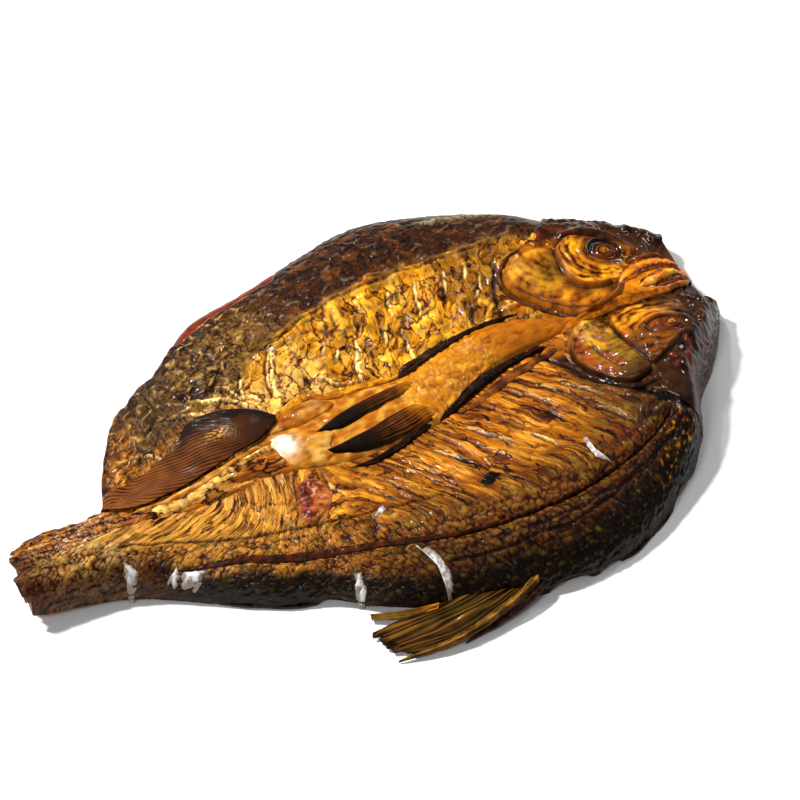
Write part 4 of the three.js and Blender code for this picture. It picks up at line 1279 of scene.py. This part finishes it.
def near_head_parts(x, y):
    cover, in_cover = bone(NEAR_GILL_COVER, x, y, 1.6, 1.9)
    cheek, in_cheek = bone(NEAR_CHEEK, x, y, 1.1, 0.6)
    along = 0.94 * (x - NEAR_EYE[0]) + 0.05 * (y - NEAR_EYE[1])
    aside = y - NEAR_EYE[1] + 0.12 * (x - NEAR_EYE[0])
    socket = np.hypot((along + 1.5) / 1.5, aside)
    turn = np.arctan2(y - NEAR_EYE[1], x - NEAR_EYE[0])
    growth = np.hypot(x - 84, y + 20)
    height = cover + cheek * (1 - smooth(x, 100, 112))
    on_cover = smooth(in_cover, 0.5, 2) * (1 - smooth(in_cheek, -1.5, 0))
    red_arc = beside(NEAR_RED_ARC, x, y, 20)[0]
    split = beside(NEAR_SPLIT, x, y, 10)[0]
    uneven = 0.3 * mottle(x, y, 6, 102) + 0.14 * mottle(x, y, 3, 101)
    height += on_cover * (uneven - 0.35 * bump(red_arc, 0.6))
    height -= 0.25 * on_cover * bump(split, 0.35)
    on_cheek = smooth(in_cheek, 0.3, 1.5)
    height += on_cheek * 0.35 * mottle(x, y, 4, 100) * smooth(socket, 6, 8)
    height += 0.4 * bump(in_cheek - 1.0, 0.7) * (1 - smooth(x, 100, 108)) + 0.6 * bump(socket - 6.6, 1.2)
    height += 0.35 * bump(socket - 3.6, 0.6) - 0.9 * bump(socket - 5.2, 0.8)
    skull = smooth(x + 0.5 * y + 2 * mottle(x, y, 6, 103), 58, 70) * (1 - smooth(in_cheek, -2, 0))
    height += skull * (1.0 * mottle(x, y, 6, 104) + 0.55 * mottle(x, y, 2.6, 105))
    brow = beside(NEAR_BROW, x, y, 12)[0]
    height += 2.2 * bump(brow, 3.0)
    for lump_x, lump_y, size, tall in NEAR_LUMPS:
        height += tall * bump(np.hypot(x - lump_x, y - lump_y), size)
    return height, in_cover, in_cheek, socket, turn, growth, on_cover, on_cheek, skull, red_arc, split


def near_head_looks(u, t, x, y):
    y = down_wall(x, y)
    (_, in_cover, in_cheek, socket, turn, growth, on_cover, on_cheek, skull, red_arc,
     split) = near_head_parts(x, y)
    uneven = 2.5 * mottle(x, y, 7, 107)
    cloud = mottle(x, y, 6, 110)
    tint = paint(
        x, BARK,
        (AMBER, 0.9 * smooth(y, -26, -20) * (1 - smooth(x, 118, 128))),
        (BARK, 0.9 * skull),
        (SOOT, 0.5 * skull * patches(x, y, 5, 108, -0.3, 0.2)),
        (RUST, 0.6 * skull * patches(x, y, 4, 109, 0, 0.4)),
        (AMBER, 0.95 * on_cover),
        (OLIVE, 0.8 * on_cover * smooth(red_arc, 2, 5) * smooth(cloud, -0.5, 0)),
        (GOLD, 0.7 * on_cover * smooth(red_arc, 3, 6) * smooth(cloud, 0.1, 0.5) * smooth(y, -48, -40)),
        (STRAW, 0.5 * on_cover * oval(x, y, (76, -19, 5, 5), 1.0)),
        (RUST, 0.7 * on_cover * bump(red_arc - 0.6, 1.8) * smooth(y, -18, -30)),
        (BROWN, 0.7 * on_cover * smooth(in_cover, 3, 0.8)),
        # Darker on the lower part of the cover: partly its own brown, partly painted shade where the light
        # falls off
        (BARK, 0.85 * on_cover * smooth(y, -44, -54)),
        (SOOT, 0.8 * on_cover * bump(split, 0.35)),
        (AMBER, 0.95 * on_cheek),
        (GOLD, 0.9 * on_cheek * smooth(cloud, -0.5, 0.2) * smooth(y, -30, -24)),
        # Darker on the lower part of the cheek: partly its own brown, partly painted shade where the light
        # falls off
        (BROWN, 0.85 * on_cheek * smooth(y + 0.2 * (x - 100), -30, -40)),
        (BARK, 0.85 * bump(socket - 5.6, 1.2)),
        (RUST, 0.8 * (1 - smooth(socket, 3.4, 5))),
        (BARK, 0.8 * smooth(x + 0.4 * (y + 38) + uneven, 110, 117)),
        (SOOT, 0.85 * bump(in_cover + 0.9, 0.9) * smooth(x, 92, 84) * smooth(y, -20, -26)),
        (BARK, 0.8 * bump(in_cheek + 0.4, 0.6) * smooth(x, 110, 102)))
    relief = 0.45 * cloud + 0.3 * mottle(x, y, 2.4, 113) + 0.12 * grain(x, y, 99)
    relief += 0.12 * np.sin(growth * 1.9 + 1.6 * cloud) * on_cover
    relief += 0.3 * np.sin(socket * 1.8 + 2.6 * mottle(x, y, 5, 102)) * on_cheek * smooth(socket, 6, 8)
    a = mix(mix(x, growth, on_cover), socket, on_cheek)
    c = mix(mix(4 * y, 9 * np.arctan2(y + 20, x - 84), on_cover), 9 * turn, on_cheek)
    return dress(tint, relief, (a, c), (0.15 + 0.25 * on_cheek + 0.3 * skull, 0 * x))


def near_head_surface(u, t):
    x = mix(NEAR_HEAD_START, SNOUT_X, u)
    edge = near_edge(x) + edge_wave(x)
    low = np.maximum(near_head_low(x), edge)
    y = mix(low, near_head_high(x), rows_to_rim(t))
    outward = down_wall(x, y)
    height = near_head_parts(x, outward)[0]
    off_low = np.where(near_head_low(x) > edge, y - low, 9)
    rim = smooth(np.minimum(near_head_high(x) - y, off_low), 0, 1.5)
    rim *= smooth(x, NEAR_HEAD_START, NEAR_HEAD_START + 2)
    wall = smooth(y - edge, 9, 2) * smooth(y - edge, 0, 0.6)
    lumps = (0.5 + 0.7 * grain(x / 4.5, outward / 3.5, 143) + 0.4 * grain(x / 2, outward / 1.8, 144)) * wall
    return ragged_ends(x, y), y + lumps, skin(x, y) + (height + 0.5) * rim - 0.5


def eye(name, place, radius, tone):
    """A sunken dried eye: a low clouded dome inside a ring of lid."""
    def surface(turn, share):
        x = place[0] + radius * share * np.cos(turn)
        y = place[1] + 0.88 * radius * share * np.sin(turn)
        ring = 0.22 * bump(share - 0.74, 0.14) - 0.12 * bump(share - 0.54, 0.13)
        middle = skin(np.full(x.shape, place[0]), np.full(x.shape, place[1]))
        return x, y, mix(middle, skin(x, y), 0.6) + 1.7 + 1.5 * (1 - share ** 2) + ring

    def looks(turn, share, x, y):
        cloud = mottle(x, y, 1.6, 139)
        tint = paint(
            x, BROWN,
            (tone, 0.8 * (1 - smooth(share, 0.3, 0.5))),
            (SOOT, 0.7 * bump(share - 0.56 + 0.06 * cloud, 0.12)),
            (RUST, 0.6 * smooth(share, 0.75, 0.9)),
            (BARK, 0.5 * smooth(share + 0.1 * cloud, 0.86, 1)))
        return dress(tint, 0.08 * np.sin(share * 20) + 0.35 * cloud, (6 * share, turn))

    disc(name, HEAD, 72, 30, surface, looks, 2.5)


def plain_looks(tone, crest, spread=0.6):
    """One uneven tone with a second one in soft patches along the piece."""
    def looks(s, t, x, y):
        tint = paint(x, tone, (crest, spread * patches(x, y, 6, 91, -0.4, 0.5)))
        relief = 0.5 * mottle(x, y, 3, 92) + 0.3 * mottle(x, y, 1.6, 89)
        return dress(tint, relief)
    return looks


def head():
    sheet("far_head_half", HEAD, 236, 190, far_head_surface, far_head_looks, 2.0)
    sheet("near_head_half", HEAD, 240, 200, near_head_surface, near_head_looks, 1.4)
    eye("far_eye", FAR_EYE, 4.4, AMBER)
    eye("near_eye", NEAR_EYE, 3.6, ORANGE)
    # Name, tone, tone of its patches, number of lines along it, path, widths and heights
    ropes = [
        ("throat_ridge", AMBER, ORANGE, 0,
         [(70, -12), (79, -11.2), (88, -12), (98, -13), (107, -14.4), (117, -14.6), (128, -11.8), (136, -11)],
         [2.0, 4.5, 4.5, 4.5, 5], [0.8, 1.8, 1.8, 2.0, 2.0]),
        ("upper_lip", ORANGE, RUST, 4, [(104, -3), (113, 0.5), (121, 2.5), (129, 2), (136.5, -2)],
         [5, 8, 8.5, 8, 6], [1.9, 2.7, 3.1, 3.0, 2.4]),
        ("inner_lip", ORANGE, HONEY, 3, [(110, -10), (118, -8), (126, -5.5), (134, -5)],
         [4, 6, 6.5, 5.5], [1.5, 2.1, 2.3, 2.0]),
        ("lip_curl", AMBER, RUST, 0, [(107, -4.5), (101.5, -6.5), (96, -10.5), (89, -12.6)],
         [2.4, 3, 2.4, 1.4], [2.1, 2.3, 1.9, 1.2]),
        ("lower_lip", BROWN, RUST, 3, [(114, -13.6), (122, -12.2), (130, -10), (137, -9.8)],
         [3, 5, 6, 5], [1.7, 2.3, 2.7, 2.4]),
        ("far_jaw", BROWN, RUST, 3, [(113, 6.5), (121, 8), (129, 8.5), (135, 6)],
         [3, 4.5, 5, 3], [1.3, 2.0, 2.2, 1.8]),
        ("far_gill_membrane", BROWN, BARK, 0,
         [(79, 33), (71.5, 32), (66.5, 29), (63, 23.5), (63.5, 16.5), (68, 8), (72.6, 0.6), (78, -6.6),
          (84, -12.4)], [1.4, 2.2, 2.6, 2.4, 2.8, 2.4, 1.4], [1.0, 1.4, 1.5, 1.4, 1.5, 1.4, 1.0]),
        ("near_gill_membrane", BARK, SOOT, 0,
         [(60, -24), (63, -33), (64.5, -42), (68, -50), (73.5, -58), (80, -61), (87, -62)],
         [1.6, 3.0, 3.4, 3.0, 2.4, 1.6], [0.9, 1.3, 1.5, 1.3, 1.3, 0.9]),
    ]
    for name, tone, crest, lines, path, width, height in ropes:
        rope(name, HEAD, path, width, height, plain_looks(tone, crest), lines=lines)


# The fins: s runs along each, and t across it
ANAL_RAYS = 28


def ray_comb(s, t, rays):
    """1 on each of a number of slightly wavy rays, and 0 between two."""
    return np.abs(np.sin(math.pi * rays * (t + 0.05 * grain(4 * s, 5 * t, 87))))


def ray_looks(base, tip, rays, glint):
    """Fin rays that run from root to tip: pale on the ray and dark between two, and light at the root."""
    def looks(s, t, x, y):
        comb = ray_comb(s, t, rays)
        tint = paint(
            x, base,
            (tip, smooth(s, 0.25, 0.6)),
            (AMBER, glint * smooth(comb, 0.6, 1) * smooth(s, 0.7, 0.3)),
            (linear("#a2600a"), 0.95 * smooth(s, 0.3, 0.1)),
            (tip, 0.6 * smooth(np.sin(math.pi * t), 0.4, 0.1)))
        return dress(tint, 0.6 * comb - 0.35 + 0.4 * mottle(x, y, 3, 93), (12 * t, 40 * s))
    return looks


def on_skin(root, tip, arch, rays, depth):
    """Heights of a fin that lies on the skin, dips into it at the root and is arched across."""
    def height(s, t, x, y):
        middle = np.sqrt(np.sin(math.pi * np.clip(t, 0.02, 0.98)))
        tall = mix(root, tip, s) + arch * (1 - s) + depth * ray_comb(s, t, rays) + 0.3 * mottle(x, y, 5, 95)
        return skin(x, y) - 0.3 + tall * middle - 3.0 * smooth(s, 0.2, 0)
    return height


def anal_rays(s, t):
    """Rays that leave the base and sweep back, and follow the leading edge near the root."""
    return s + (0.36 + 0.45 * (1 - s) ** 2) * t + 0.012 * grain(3 * s, 3 * t, 95)


def anal_comb(place):
    return 2 * np.abs(np.sin(place * math.pi * ANAL_RAYS)) ** 0.5 - 1


def anal_height(s, t, x, y):
    over = lift(x) + thickness(x, y) + mix(2.4, 1.4, s) + 0.35 * mottle(x, y, 10, 96)
    return over + 0.11 * anal_comb(anal_rays(s, t)) + 0.9 * bump(t - 0.06, 0.08) * smooth(s, 0.5, 0.2)


def anal_looks(s, t, x, y):
    place = anal_rays(s, t)
    comb = anal_comb(place)
    cloud = 0.2 * mottle(x, y, 8, 97)
    patch = oval(x, y, (-79, 8, 5.5, 3), 0.9) * smooth(grain(x / 1.6, y / 1.2, 98), -0.2, 0.2)
    tint = paint(
        x, linear("#2a1206"),
        (linear("#3a1b08"), 0.95 * smooth(s + cloud, 0.22, 0.5)),
        (BROWN, 0.62 * smooth(s + cloud, 0.5, 0.8)),
        (AMBER, 0.22 * smooth(s + cloud, 0.78, 0.98)),
        (linear("#7a4412"), 0.26 * smooth(comb, 0.2, 0.9) * smooth(s, 0.1, 0.4)),
        (SOOT, 0.9 * smooth(t + cloud, 0.4, 0.12) * smooth(s, 0.6, 0.45)),
        (STRAW, 0.8 * patch))
    return dress(tint, 0.7 * comb - 0.3 + 0.3 * mottle(x, y, 5, 94), (60 * place, 60 * s))


def dorsal_comb(s, t):
    return np.abs(np.sin(math.pi * (7.5 * t + 0.7 * grain(2.5 * s, 5 * t, 11) + 0.25 * np.sin(7 * s))))


def dorsal_fray(t):
    """Shortens the rays unevenly, so that their ends are ragged."""
    return -0.03 - 0.035 * (1 + np.sin(t * 41)) - 0.05 * bump(t - 0.92, 0.06) - 0.03 * np.abs(np.sin(t * 17))


def dorsal_height(s, t, x, y):
    return mix(8.0, 1.6, s) - 2.8 * t * (1 - s) + 0.45 * dorsal_comb(s, t) + 0.5 * grain(x / 9, y / 4, 99)


def dorsal_looks(s, t, x, y):
    comb = dorsal_comb(s, t)
    tint = paint(
        x, SOOT,
        (UMBER, 0.9 * smooth(s, 0.05, 0.4)),
        (linear("#402808"), 0.8 * smooth(s + 0.4 * grain(4 * s, 5 * t, 10), 0.4, 0.9)),
        (linear("#7e5014"), 0.5 * smooth(comb, 0.7, 1) * smooth(grain(3 * s, 6 * t, 19), -0.2, 0.4)))
    return dress(tint, 0.6 * comb - 0.4 + 0.4 * mottle(x, y, 6, 29), (20 * t, 70 * s))


def fins():
    rope("far_pectoral_fin", FIN, [(0, 1.5), (10, 4.5), (30, 8.0), (46, 9.3), (62, 7.6)],
         [4.2, 6.2, 4.8, 3.4, 2.4, 1.6], [1.6, 2.4, 2.2, 1.8, 1.4, 1.0],
         plain_looks(BARK, SOOT, 0.8), along=170, around=40, lines=9)
    rope("near_pectoral_fin", FIN, [(2, -28), (12, -24.6), (22, -20.4), (32, -17.3), (46, -15), (61, -14.5)],
         [1.6, 3.8, 5.2, 5.6, 4.6, 3.6, 2.4], [1.2, 2.0, 2.4, 2.4, 2.2, 2.0, 1.4],
         plain_looks(SOOT, BARK), along=170, around=40, lines=9)
    rope("near_pectoral_lining", STRIP, [(14, -29), (26, -25.4), (40, -21.8), (54, -19.8), (64, -19.4)],
         [2.0, 4.4, 5.0, 4.8, 3.0], [0.7, 1.0, 1.1, 1.1, 0.8],
         plain_looks(linear("#3a1808"), linear("#8a4a12"), 0.7))
    rope("lateral_line", FLANK, [(x, lateral_line(x)) for x in range(-126, 83, 8)],
         [1.0, 2.6, 3.6, 3.8, 3.6, 3.2, 2.6, 2.1, 1.9, 1.8, 1.7, 1.6, 1.5, 0.8],
         [1.2, 1.5, 1.6, 1.7, 1.8, 1.9, 2.1, 2.2, 2.2, 2.2, 2.2, 2.1, 1.9, 1.4], lateral_looks,
         along=520, around=16)
    blade("far_pelvic_fin", FIN, [(9, -3), (-8, -3.6), (-20, -4.6), (-33, -6.5), (-46, -10.6)],
          [(6, -9), (-10, -11.4), (-20, -12.4), (-34, -13.6), (-42, -12)],
          on_skin(0.6, 1.6, 0.9, 7, 0.12), 2.0, ray_looks(BARK, SOOT, 7, 0.3))
    blade("near_pelvic_fin", FIN, [(4, -17), (-14, -18), (-24, -19.4), (-34, -20), (-46, -21)],
          [(9, -24), (-6, -28), (-20, -29), (-33, -28), (-45, -23)],
          on_skin(0.6, 1.8, 1.1, 9, 0.12), 2.0, ray_looks(BARK, SOOT, 9, 0.4))
    rope("near_pelvic_spine", FIN, [(-2, -28), (-20, -32.5), (-32, -34.5), (-43, -33)],
         [2.4, 4, 3.6, 1.2], [1.2, 1.6, 1.6, 0.8], plain_looks(SOOT, BARK), lines=7)
    blade("anal_fin", FIN,
          [(-55, 4), (-64, 14.5), (-78, 21), (-88, 20), (-95, 13.5), (-105, 9.5), (-118, 7), (-128, 7),
           (-135, 0)],
          [(-57, 1.5), (-66, -3), (-76, -5), (-88, -8), (-99, -11), (-112, -12.5), (-122, -14), (-130, -13),
           (-138, -8.5)], anal_height, 3.4, anal_looks, along=300, across=60)
    blade("dorsal_fin", FIN, [(-10, -105), (-30, -106), (-55, -103), (-78, -101)],
          [(-4, -114), (-25, -119.5), (-46, -121.2), (-70, -117)],
          dorsal_height, 1.6, dorsal_looks, along=170, across=80, reach=dorsal_fray)
    rope("dorsal_leading_ray", FIN,
         [(-5, -112.5), (-12, -116), (-26, -119.4), (-42, -121.4), (-56, -120.4), (-70, -117.4)],
         [4.0, 2.6, 3.2, 3.0, 2.2, 0.5], [2.2, 2.0, 2.2, 1.8, 1.2, 0.5],
         plain_looks(linear("#50340c"), linear("#8e6420"), 0.8), along=160,
         ground=lambda s, x, y: mix(7.5, 1.2, s), lines=5)
    rope("dorsal_outer_membrane", FIN, [(-3, -114), (-10, -118.5), (-24, -121.4), (-44, -122.6)],
         [2.6, 3.0, 2.4, 0.6], [1.6, 1.6, 1.2, 0.4], plain_looks(BARK, SOOT, 0.7), along=100,
         ground=lambda s, x, y: mix(5.5, 0.8, s) + 0.4)
    blade("dorsal_short_rays", FIN, [(-44, -103.5), (-56, -99), (-68, -93)],
          [(-46, -106), (-58, -102.5), (-69, -96)],
          lambda s, t, x, y: mix(4.6, 1.6, s) + 0.3 * np.abs(np.sin(3 * math.pi * t)), 1.2,
          ray_looks(UMBER, linear("#5a400e"), 3, 0.2), along=60, across=16)


def lateral_looks(s, t, x, y):
    """Dried blood along the lateral line: beads towards the head, and a shredded band towards the tail."""
    beads = np.sin(x * 1.9 + 2 * mottle(x, y, 5, 14))
    tint = paint(
        x, linear("#2e0e07"),
        (SOOT, 0.6 * patches(x, y, 2, 30, -0.2, 0.3)),
        (RUST, 0.3 * patches(x, y, 5, 7, 0, 0.5)),
        (BROWN, 0.6 * smooth(x, -30, -60) * smooth(grain(x / 4, y / 1.2, 8), 0, 0.4)))
    return dress(tint, 0.6 * beads * smooth(x, -30, 0))


# Membranes round the vent and along the belly
def lobe(name, material, outline, step, dome, looks, sides=120, rings=26, sink=2.0, fine=0.2):
    """A soft lobe lying on the skin inside a closed outline. Its rim dips into the skin."""
    edge = spline(outline, CURVE_STEPS, closed=True)
    centre = edge.mean(axis=0)
    edge = np.concatenate([edge, edge[:1]])

    def flat(turn, share):
        place = turn / (2 * math.pi) * CURVE_STEPS
        x = np.interp(place, np.arange(CURVE_STEPS + 1), edge[:, 0])
        y = np.interp(place, np.arange(CURVE_STEPS + 1), edge[:, 1])
        return mix(centre[0], x, share), mix(centre[1], y, share), np.hypot(x - centre[0], y - centre[1])

    def surface(turn, share):
        x, y, span = flat(turn, share)
        inward = (1 - share) * span
        height = step * smooth(inward, 0, 2.0) + dome * (1 - share ** 2) - 0.35 * smooth(inward, 1.2, 0)
        return x, y, skin(x, y) + height + fine * (mottle(x, y, 3, 121) + 0.5 * mottle(x, y, 1.2, 120))

    disc(name, material, sides, rings, surface, looks, sink)


def membranes():
    def vent_looks(turn, share, x, y):
        tint = paint(
            x, linear("#a8690f"),
            (STRAW, 0.8 * patches(x, y, 6, 122, -0.4, 0.3)),
            # Painted highlight: a white patch on the membrane
            (linear("#fdf6ea"), 0.98 * oval(x, y, (-59.5, -11, 4.4, 5.5), 0.95)),
            (ORANGE, 0.5 * smooth(share, 0.7, 0.95) * smooth(x, -54, -48)))
        return dress(tint, 0.5 * grain(x / 4, y / 3, 123), (y, x))

    lobe("vent_membrane", STRIP,
         [(-63.5, -5), (-52, -5.5), (-43, -9), (-38, -14.5), (-42, -19), (-45, -25), (-55, -25.5),
          (-63, -19)], 0.5, 0.9, vent_looks)

    def upper_looks(turn, share, x, y):
        tint = paint(x, AMBER, (STRAW, 0.5 * patches(x, y, 7, 124, -0.2, 0.4)),
                     (RUST, 0.3 * patches(x, y, 5, 125, 0, 0.5)))
        return dress(tint, 0.5 * grain(x / 4, y / 3, 126), (y, x))

    lobe("vent_upper_membrane", STRIP,
         [(-62, -2), (-58, 3), (-50, 6.5), (-40, 8.5), (-33, 5.5), (-30, 0), (-36, -2.5), (-46, -4.5),
          (-54, -3.5)], 0.4, 0.7, upper_looks)
    rope("belly_fold", STRIP, [(-57, 5), (-47, 8.5), (-38, 10.5), (-31, 6), (-14, 4), (0, 2)],
         [2.4, 4.6, 5, 4.4, 2.4], [0.9, 1.3, 1.3, 1.2, 0.8], plain_looks(AMBER, GOLD, 0.9))
    rope("sheath_edge", STRIP, [(-60, -6.5), (-70, -7), (-84, -10), (-98, -14), (-112, -16), (-128, -15)],
         [2.0, 3.0, 3.2, 2.8, 1.8], [0.9, 1.0, 1.0, 0.9, 0.8], plain_looks(AMBER, STRAW, 0.8))

    def point_looks(turn, share, x, y):
        tint = paint(x, AMBER, (STRAW, patches(x, y, 2, 127, 0, 0.4)), (BROWN, smooth(share, 0.8, 0.95)))
        return dress(tint, 0.5 * mottle(x, y, 2, 128), (y, x))

    lobe("shoulder_membrane", STRIP, [(56, 12), (60, 16.5), (63.5, 15), (66, 10.5), (61, 9.5)], 0.4, 0.5,
         point_looks, sides=60, rings=12)

    def wound_looks(turn, share, x, y):
        right = smooth(0.86 * (x + 64) - 0.5 * (y + 42) + 2 * mottle(x, y, 3, 129), -2, 3)
        tint = paint(
            x, linear("#6a2416"),
            (linear("#a0561e"), 0.9 * right),
            (BLOOD, 0.8 * patches(x, y, 4, 135, 0, 0.4) * (1 - 0.6 * right)),
            (linear("#c89a84"), 0.4 * patches(x, y, 2.4, 136, 0.15, 0.5) * smooth(y, -48, -44)),
            (AMBER, 0.7 * smooth(share, 0.75, 0.98)))
        return dress(tint, 0.8 * mottle(x, y, 3, 137), (y, x))

    lobe("wound_membrane", STRIP,
         [(-64.8, -31), (-57.2, -31), (-54.6, -38), (-57, -46.3), (-64.3, -51.6), (-70.4, -53.9),
          (-73.1, -49.2), (-69.4, -40.5)], 0.6, 1.0, wound_looks, fine=0.35)


# White salt: place, length, width, turn in degrees
FLECKS = [
    (-39.5, -94.5, 22, 3.4, 95), (-67.5, -83.5, 6.4, 4, 65), (-68, -86.6, 4.4, 2.6, 10),
    (-45, -61, 7, 3.6, 35), (43, -78, 16, 2.4, -86), (-141, -38.2, 8, 4.6, 70), (-120.5, -49.8, 11, 5, -35),
    (-38, 39, 5, 3, 20), (-126, -46.5, 6, 3.4, 20),
]


def salt_looks(turn, share, x, y):
    thin = smooth(share + 0.6 * mottle(x, y, 1.8, 132) + 0.3 * mottle(x, y, 0.8, 134), 0.1, 0.9)
    tint = paint(x, linear("#eceaea"), (linear("#7d664a"), 0.92 * thin))
    return {"tint": tint}


def salt_crusts():
    for number, (x0, y0, long, wide, turn_degrees) in enumerate(FLECKS):
        angle = math.radians(turn_degrees)
        around = np.arange(36) * math.pi / 18
        level = 0 * around + number + 0.4
        uneven = 1 + 0.2 * grain(around * 1.3, level, 130) + 0.15 * grain(around * 3, level, 131)
        along = 0.5 * long * np.cos(around) * uneven
        aside = 0.5 * wide * np.sin(around) * uneven + 0.08 * long * np.cos(2 * around)
        outline = np.stack([x0 + along * math.cos(angle) - aside * math.sin(angle),
                            y0 + along * math.sin(angle) + aside * math.cos(angle)], axis=1)
        lobe(f"salt_crust_{number + 1}", SALT, outline, 0.3, 0.15, salt_looks, sides=84, rings=14, sink=1.5,
             fine=0.12)


# The stage, the lights and the camera: places in metres, angles in degrees, the sensor in millimetres
FLOOR_WIDTH = 6
FLOOR_DROP = 0.0002
CAMERA_AZIMUTH = 30.6
CAMERA_ELEVATION = 45.5
CAMERA_DISTANCE = 1.0
MILLIMETRES_PER_PIXEL = 0.41
PICTURE_WIDTH = 800
SENSOR = 36.0


def stage():
    select_only()
    bpy.ops.mesh.primitive_plane_add(size=FLOOR_WIDTH, location=(0, 0, -FLOOR_DROP))
    floor = bpy.context.object
    floor.name = "floor"
    material, tree = new_material("matt_white_paper")
    shader = add_node(tree, "BsdfPrincipled", {
        "Base Color": (*linear("#f1f0ee"), 1.0), "Roughness": 0.8, "Specular IOR Level": 0.2})
    add_node(tree, "OutputMaterial", {"Surface": shader.outputs[0]})
    floor.data.materials.append(material)


def softbox(name, place, size, watts):
    light = bpy.data.lights.new(name, "AREA")
    light.shape = "RECTANGLE"
    light.size, light.size_y = size
    light.energy = watts
    lamp = bpy.data.objects.new(name, light)
    bpy.context.collection.objects.link(lamp)
    lamp.location = place
    direction = -lamp.location.normalized()
    lamp.rotation_euler = direction.to_track_quat("-Z", "Y").to_euler()


def lights():
    softbox("key_softbox", (-0.6, 0.65, 1.15), (0.15, 0.15), 33)
    softbox("rear_softbox", (0.1, 0.95, 0.95), (0.09, 0.09), 4)
    softbox("side_softbox", (0.95, 0.25, 0.6), (0.12, 0.2), 3)
    softbox("front_softbox", (-0.95, -0.6, 1.2), (0.4, 0.3), 6)
    world = bpy.data.worlds.new("pale_studio")
    world.use_nodes = True
    world.node_tree.nodes["Background"].inputs["Color"].default_value = (1, 1, 1, 1)
    world.node_tree.nodes["Background"].inputs["Strength"].default_value = 0.2
    bpy.context.scene.world = world


def camera():
    azimuth = math.radians(CAMERA_AZIMUTH)
    elevation = math.radians(CAMERA_ELEVATION)
    forward = np.array([math.sin(azimuth) * math.cos(elevation), math.cos(azimuth) * math.cos(elevation),
                        -math.sin(elevation)])
    data = bpy.data.cameras.new("camera")
    data.sensor_width = SENSOR
    data.lens = SENSOR * CAMERA_DISTANCE / (MM * MILLIMETRES_PER_PIXEL * PICTURE_WIDTH)
    data.clip_end = 20
    viewer = bpy.data.objects.new("camera", data)
    bpy.context.collection.objects.link(viewer)
    middle = np.array([-MIDDLE_X, -MIDDLE_Y, 0]) * MM
    viewer.location = middle - forward * CAMERA_DISTANCE
    viewer.rotation_euler = (math.pi / 2 - elevation, 0, -azimuth)
    bpy.context.scene.camera = viewer
    bpy.context.scene.view_settings.view_transform = "Standard"


camera()
lights()
stage()
flesh()
sheet("near_flank_skin", FLANK, 520, 168, near_surface, near_looks, 1.2)
sheet("far_flank_skin", BACK, 520, 168, far_surface, far_looks, 1.2)
sheet("belly_strip", STRIP, 460, 40, strip_surface, strip_looks, 2.0)
head()
fins()
membranes()
salt_crusts()
